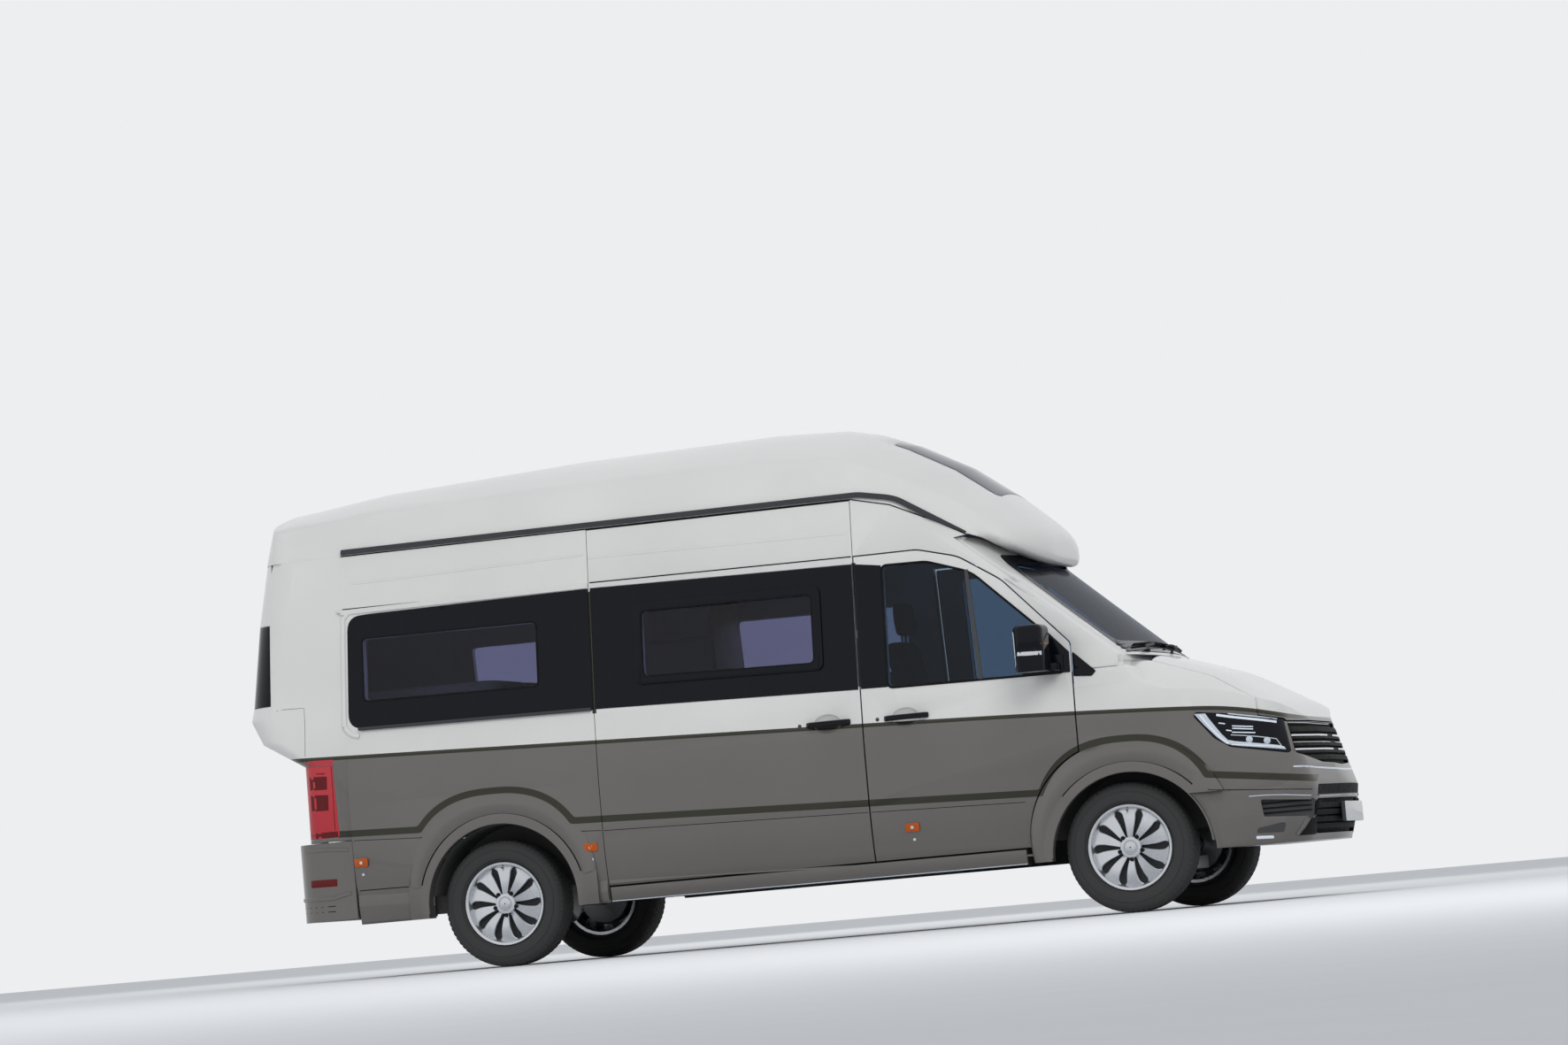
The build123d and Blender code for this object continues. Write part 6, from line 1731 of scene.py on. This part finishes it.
@dataclass(frozen=True)
class Tail:
    """Lamps, bumper details, seams, plate, handle and lamps of the rear.

    Attributes:
        blocks: Dark blocks of the tail lamp, two in one piece.
        parts: Lines, lenses and ledges of one flank; the dark strip under the flank's step is painted shadow.
        hatch_parts: Parts that swing with the hatch.
        brake: High brake light.
        tread: Number of treads on the bumper and their distance.
        sensors: Places of the parking sensors across the bumper.
    """

    blocks: tuple = tuple(
        Panel("tail_blocks_{}", RED_DARK, ((-4.742, low, 0.004), (-4.632, low - 0.003, 0.004),
                                           (-4.628, high - 0.006, 0.004), (-4.742, high, 0.004)), 0.0010, 0.003)
        for low, high in ((1.098, 1.176), (0.978, 1.070)))
    parts: tuple = (
        Panel("tail_brow_{}", RED, ((-4.765, 1.234, 0.002), (-4.584, 1.234, 0.002), (-4.584, 1.262, 0.002),
                                    (-4.765, 1.268, 0.002)), 0.0012, 0.003, steps=2),
        # A dark strip in the rubber finish: painted shadow under the step low on the flank.
        Strip("tail_step_{}", RUBBER_AND_SHADOW, ((-4.484, 0.503), (-4.300, 0.502), (-4.140, 0.500)), 0.006, 0.0014),
        Panel("tail_foot_{}", RED_DARK, ((-4.765, 0.820, 0.004), (-4.584, 0.820, 0.004), (-4.586, 0.852, 0.004),
                                         (-4.765, 0.852, 0.004)), 0.0010, 0.003, 0.04),
        Strip("tail_edge_{}", RED_DARK, ((-4.600, 0.860), (-4.597, 1.222)), 0.004, 0.001, 0.0),
        Strip("tail_gleam_{}", RED_DARK, ((-4.758, 1.222), (-4.690, 1.190), (-4.640, 1.186)), 0.006, 0.001, 0.0),
        Panel("reflector_{}", RED_DARK, ((-4.785, 0.543, 0.006), (-4.616, 0.541, 0.006), (-4.614, 0.582, 0.006),
                                         (-4.783, 0.585, 0.006)), 0.004, 0.006, bevel=0.001),
        Strip("bumper_groove_{}_0", RUBBER_AND_SHADOW, ((-4.842, 0.430), (-4.636, 0.428)), 0.005, 0.0014),
        Strip("bumper_groove_{}_1", RUBBER_AND_SHADOW, ((-4.842, 0.400), (-4.636, 0.398)), 0.005, 0.0014),
        Strip("bumper_ledge_{}", PAINT, ((-4.870, 0.476), (-4.636, 0.474), (-4.534, 0.497)), 0.022, 0.007),
        Strip("bumper_shoulder_{}", PAINT, ((-4.805, 0.752), (-4.640, 0.752), (-4.532, 0.742)), 0.020, 0.005),
        Strip("tail_seam_{}", RUBBER_AND_SHADOW, ((-4.964, 1.571), (-4.872, 1.577), (-4.748, 1.574), (-4.747, 1.459),
                                       (-4.755, 1.256)), 0.003, 0.0012))
    hatch_parts: tuple = (
        Panel("plate_tray", BLACK, block(0, 0.9485, 0.31, 0.0865, 0.03), 0.004, 0.006, 0.06, 5, 0.001),
        Panel("plate_rear", PLATE, block(0, 0.940, 0.26, 0.055, 0.012), 0.0065, 0.003, 0.06, 4, 0.0005),
        Strip("hatch_pull", CHROME, ((-0.24, 1.055), (0.24, 1.055)), 0.022, 0.014, 0.0, bevel=0.002),
        Strip("plate_lamp_right", LIGHT, ((-0.16, 1.020), (-0.10, 1.020)), 0.010, 0.008, 0.003),
        Strip("plate_lamp_left", LIGHT, ((0.16, 1.020), (0.10, 1.020)), 0.010, 0.008, 0.003))
    brake: Panel = Panel("brake_light_high", RED, block(0, 2.135, 0.22, 0.015, 0.01), 0.002, 0.006, 0.05)
    tread: tuple = (9, 0.006)
    sensors: tuple = (-0.55, -0.25, 0.25, 0.55)

    def build(self) -> None:
        """Builds the tail."""
        skin("tail_lamps", RED)
        for side in (RIGHT, LEFT):
            view = side_drape(side, ("rear_module", "tail_lamps", "rear_bumper", "rear_window", SIDE_NODES[side][0]))
            make(f"tail_blocks_{SIDE_NAME[side]}", RED_DARK, *(part.shape(view) for part in self.blocks))
            for part in self.parts:
                part.lay(view, SIDE_NAME[side])
        view = Drape(("rear_hatch", "rear_module", "rear_bumper", "rear_window"), FORWARD, (0, -1, 0))
        for part in self.hatch_parts:
            part.lay(view, body="hatch")
        self.brake.lay(view)
        count, step = self.tread
        x = FRONT_X - 4.872
        treads = Repeat(Layout.ROW, count, step=(step, 0.0, 0.0))
        make("bumper_tread", BLACK, treads.make(box((x, -0.70, 0.7335), (x + 0.003, 0.70, 0.7375)), BLACK))
        dish, faces = lathe([(0.001, 0.0), (0.012, 0.0), (0.011, 0.0015), (0.001, 0.002)], 16, HOME)
        for y in self.sensors:
            make(f"sensor_{int(y * 100) + 100}", BLACK, moved(([(-b, a, c) for a, b, c in dish], faces),
                                                             view.hit(-y, 0.640)))


@dataclass(frozen=True)
class Mirrors:
    """Door mirrors with a bright blade, a glass face and an indicator.

    Attributes:
        blade: Stations and heights of the blade under the housing.
        glass: Place across the car, height and half sizes of the glass.
    """

    blade: tuple = ((-0.468, 1.452), (-0.392, 1.448), (-0.320, 1.446))
    glass: tuple = (1.150, 1.479, 0.088, 0.097)

    def build(self) -> None:
        """Builds both mirrors."""
        for side in (RIGHT, LEFT):
            name, body, part = SIDE_NAME[side], f"door_{SIDE_NAME[side]}", (f"mirror_{SIDE_NAME[side]}",)
            skin(part[0], BLACK_GLOSS, body, 0.004, 40)
            Strip("mirror_blade_{}", CHROME, self.blade, 0.022, 0.004, -0.0025,
                  step=0.02).lay(side_drape(side, part), name, body)
            y, z, half_y, half_z = self.glass
            Panel("mirror_glass_{}", MIRROR_GLASS, block(side * y, z, half_y, half_z, 0.025), 0.004, 0.006, 0.05,
                  5).lay(Drape(part, FORWARD, SIDEWARD), name, body)
            Strip("mirror_lamp_{}", AMBER, ((side * 1.06, 1.500), (side * 1.24, 1.497)), 0.008,
                  0.002).lay(Drape(part, (-1, 0, 0), SIDEWARD), name, body)


@dataclass(frozen=True)
class Cab:
    """Seats with padded cushions, dashboard fittings and the steering wheel.

    Attributes:
        seat_x: Back of the seat base.
        seat_y: Place of either seat across the cab.
        cushions: Tag, low and high corner from the seat's place, lean and crown.
        fittings: Tag, span across, span of height and finish on the dashboard.
    """

    seat_x: float = FRONT_X - 1.480
    seat_y: float = 0.430
    cushions: tuple = (("squab", (0.035, -0.236, 0.962), (0.552, 0.236, 1.078), 0.0, 0.22),
                       ("back", (-0.052, -0.230, 1.085), (0.082, 0.230, 1.670), -0.085, 0.22),
                       ("head", (-0.088, -0.126, 1.708), (0.012, 0.126, 1.895), -0.010, 0.35))
    fittings: tuple = (("screen", -0.13, 0.13, 1.18, 1.29, BLACK_GLOSS),
                       ("dials", 0.30, 0.56, 1.22, 1.315, BLACK_GLOSS),
                       ("glovebox", -0.66, -0.22, 0.98, 1.12, CABIN), ("vent_left", 0.66, 0.78, 1.17, 1.24, BLACK),
                       ("vent_right", -0.78, -0.66, 1.17, 1.24, BLACK))

    def build(self) -> None:
        """Builds the cab's inside."""
        for side in (LEFT, RIGHT):
            self.seat(SIDE_NAME[side], self.seat_x, side * self.seat_y)
        skin("dashboard", CABIN, bevel=0.004)
        skin("steering_wheel", CABIN, "steering_wheel", 0.0)
        view = Drape(("dashboard",), FORWARD, (0, -1, 0))
        for tag, y0, y1, z0, z1, finish in self.fittings:
            rows = block(-(y0 + y1) / 2, (z0 + z1) / 2, (y1 - y0) / 2, (z1 - z0) / 2, 0.012)
            Panel(f"dash_{tag}", finish, rows, 0.004, 0.008, 0.04, bevel=0.001).lay(view)

    def seat(self, name: str, x: float, y: float) -> None:
        """One bucket seat.

        Args:
            name: Side.
            x: Place along the car.
            y: Place across it.
        """
        make(f"seat_base_{name}", CABIN, box((x + 0.062, y - 0.205, 0.642), (x + 0.478, y + 0.205, 0.955)),
             bevel=0.012, replaces=("cab_seats",))
        for tag, low, high, lean, crown in self.cushions:
            shape = cushion(*((x + u, y + v, w) for u, v, w in (low, high)), lean, crown)
            make(f"seat_{tag}_{name}", CLOTH, shape, angle=60)
        round_bar = [(0.006 * math.cos(a), 0.006 * math.sin(a)) for a in np.linspace(0, 5.6, 9)]
        make(f"seat_rods_{name}", CHROME, *(
            sweep([(x - 0.048, y + v, 1.655), (x - 0.046, y + v, 1.722)], round_bar, FORWARD) for v in (-0.045, 0.045)))
        piping = [(x + 0.560, y - 0.20, 1.020), (x + 0.566, y, 1.022), (x + 0.560, y + 0.20, 1.020)]
        make(f"seat_seam_{name}", RUBBER_AND_SHADOW, sweep(piping, rounded_bar(0.006, 0.003), (1, 0, 0.2)))


@dataclass(frozen=True)
class Living:
    """Furniture fronts, worktop and bed; the fronts and pulls are set out in rows.

    Attributes:
        rows: Name, finish, bevel, copies, step, spans of height and the block's stations and places across.
        bed: Spans across of the two mattress halves.
    """

    rows: tuple = (
        ("kitchen_doors", LINING, 0.004, 3, 0.250, ((0.68, 1.02), (1.04, 1.44)), (-2.545, -2.305), (0.462, 0.4796)),
        ("cupboard_doors", LINING, 0.004, 1, 0.0, ((0.68, 1.24), (1.26, 1.80), (1.82, 2.27)), (-3.125, -2.655),
         (0.242, 0.2596)),
        ("furniture_pulls", CHROME, 0.002, 3, 0.250, ((0.98, 0.990), (1.40, 1.410)), (-2.44, -2.36), (0.450, 0.4622)))
    bed: tuple = ((-0.595, -0.004), (0.004, 0.595))

    def build(self) -> None:
        """Builds the living area."""
        skin("furniture", WOOD, bevel=0.006)
        make("kitchen_top", WORKTOP, box((FRONT_X - 2.565, 0.475, 1.4802), (FRONT_X - 1.795, 0.862, 1.503)),
             bevel=0.004)
        for name, finish, bevel, count, step, heights, (s0, s1), (y0, y1) in self.rows:
            repeat = Repeat(Layout.ROW, count, step=(step, 0.0, 0.0))
            make(name, finish, *(repeat.make(box((FRONT_X + s0, y0, low), (FRONT_X + s1, y1, high)), finish)
                                 for low, high in heights), bevel=bevel)
        for k, (low, high) in enumerate(self.bed):
            shape = cushion((FRONT_X - 4.690, low, 1.5605), (FRONT_X - 3.705, high, 1.655), 0.0, 0.08)
            make(f"mattress_{k}", BEDDING, shape, angle=60)


@dataclass(frozen=True)
class Underbody:
    """Running gear and other CAD nodes kept in shape.

    Attributes:
        parts: Each node with its finish.
    """

    parts: tuple = (("front_subframe", STEEL), ("rear_axle", STEEL), ("chassis_frame", STEEL), ("floor_pan", UNDER),
                    ("arch_liners", BLACK), ("engine_block", ENGINE), ("fuel_tank", BLACK), ("exhaust", EXHAUST),
                    ("body_rails", RAIL))

    def build(self) -> None:
        """Builds them."""
        for part, finish in self.parts:
            skin(part, finish)


@dataclass(frozen=True)
class Studio:
    """Floor, backdrop, lights and the camera at the photo's viewing angle.

    Attributes:
        lamps: Name, place, aim, power in watts and size of each soft lamp.
        yaw: Heading of the camera in degrees.
        pitch: Its tilt.
        roll: Its roll.
        eye: Its place.
        focal: Focal length in pixels of the photo.
        wide: Width of the photo in pixels.
        sensor: Width of the sensor in millimetres.
    """

    lamps: tuple = (("key", (9, -13, 11), (0, 0, 1.2), 950.0, 9.0), ("fill", (-10, -14, 7), (-1, 0, 1.2), 420.0, 10.0),
                    ("back", (-4, 14, 10), (0, 0, 1.5), 500.0, 9.0))
    yaw: float = 16.5
    pitch: float = 4.5845
    roll: float = -5.0078
    eye: tuple = (8.0699, -27.3911, 0.12)
    focal: float = 5600.0
    wide: float = 1772.0
    sensor: float = 36.0

    def build(self) -> None:
        """Builds the studio."""
        self.floor()
        self.sky()
        self.lights()
        self.camera()
        bpy.context.scene.view_settings.view_transform = "Standard"

    def put(self, name: str, data: bpy.types.ID) -> bpy.types.Object:
        """Adds an object of the studio."""
        obj = bpy.data.objects.new(name, data)
        bpy.context.scene.collection.objects.link(obj)
        return obj

    def floor(self) -> None:
        """Pale floor."""
        mesh = bpy.data.meshes.new("floor")
        mesh.from_pydata([(-80, -60, 0), (80, -60, 0), (80, 120, 0), (-80, 120, 0)], [], [(0, 1, 2, 3)])
        mesh.materials.append(PaleFloor().build())
        self.put("floor", mesh)

    def sky(self) -> None:
        """Even surroundings, white to the camera and in mirrors."""
        world = bpy.data.worlds.new("studio")
        bpy.context.scene.world = world
        world.use_nodes = True
        tree = world.node_tree
        place = node(tree, "ShaderNodeTexCoord", output="Generated")
        height = node(tree, "ShaderNodeSeparateXYZ", (place,), 2)
        share = node(tree, "ShaderNodeMapRange", (height, -0.1, 0.7))
        tone = node(tree, "ShaderNodeMix", {0: share, 6: linear("#A7ABB0"), 7: linear("#F2F5FA")}, 2, data_type="RGBA")
        feed(tree.nodes["Background"], (tone, 0.75))
        white = node(tree, "ShaderNodeBackground", (linear("#EDEEF0"), 1.0))
        rays = node(tree, "ShaderNodeLightPath").node.outputs
        seen = rays["Is Camera Ray"]
        for name in ("Is Glossy Ray", "Is Transmission Ray"):
            seen = node(tree, "ShaderNodeMath", (seen, rays[name]), operation="MAXIMUM")
        both = node(tree, "ShaderNodeMixShader", (seen, tree.nodes["Background"].outputs[0], white))
        feed(tree.nodes["World Output"], (both,))

    def lights(self) -> None:
        """Soft key from the front right above, fill from the camera's side, one from behind."""
        for name, place, aim, power, size in self.lamps:
            data = bpy.data.lights.new(name, "AREA")
            data.energy, data.size, data.shape = power, size, "DISK"
            obj = self.put(name, data)
            obj.visible_glossy = False
            obj.location = place
            obj.rotation_euler = (Vector(aim) - Vector(place)).to_track_quat("-Z", "Y").to_euler()

    def camera(self) -> None:
        """Long lens near the floor, rolled as in the photo."""
        yaw, pitch, roll = (math.radians(a) for a in (self.yaw, self.pitch, self.roll))
        ahead = Vector((-math.sin(yaw) * math.cos(pitch), math.cos(yaw) * math.cos(pitch), math.sin(pitch)))
        across = ahead.cross(Vector(UPWARD)).normalized()
        up = across.cross(ahead)
        right = across * math.cos(roll) + up * math.sin(roll)
        top = up * math.cos(roll) - across * math.sin(roll)
        data = bpy.data.cameras.new("camera")
        data.sensor_width, data.lens = self.sensor, self.sensor * self.focal / self.wide
        data.clip_start, data.clip_end = 0.5, 400.0
        obj = self.put("camera", data)
        obj.matrix_world = Matrix.Translation(self.eye) @ Matrix((right, top, -ahead)).transposed().to_4x4()
        bpy.context.scene.camera = obj


def main() -> None:
    """Builds every sub-assembly in turn."""
    for part in (Coachwork(), SideTrim(), Glass(), FrontEnd(), Tail(), Mirrors(), Wheels(), Cab(), Living(),
                 Underbody(), Studio()):
        part.build()
        log.info("%s done", type(part).__name__)


if __name__ == "__main__":
    main()
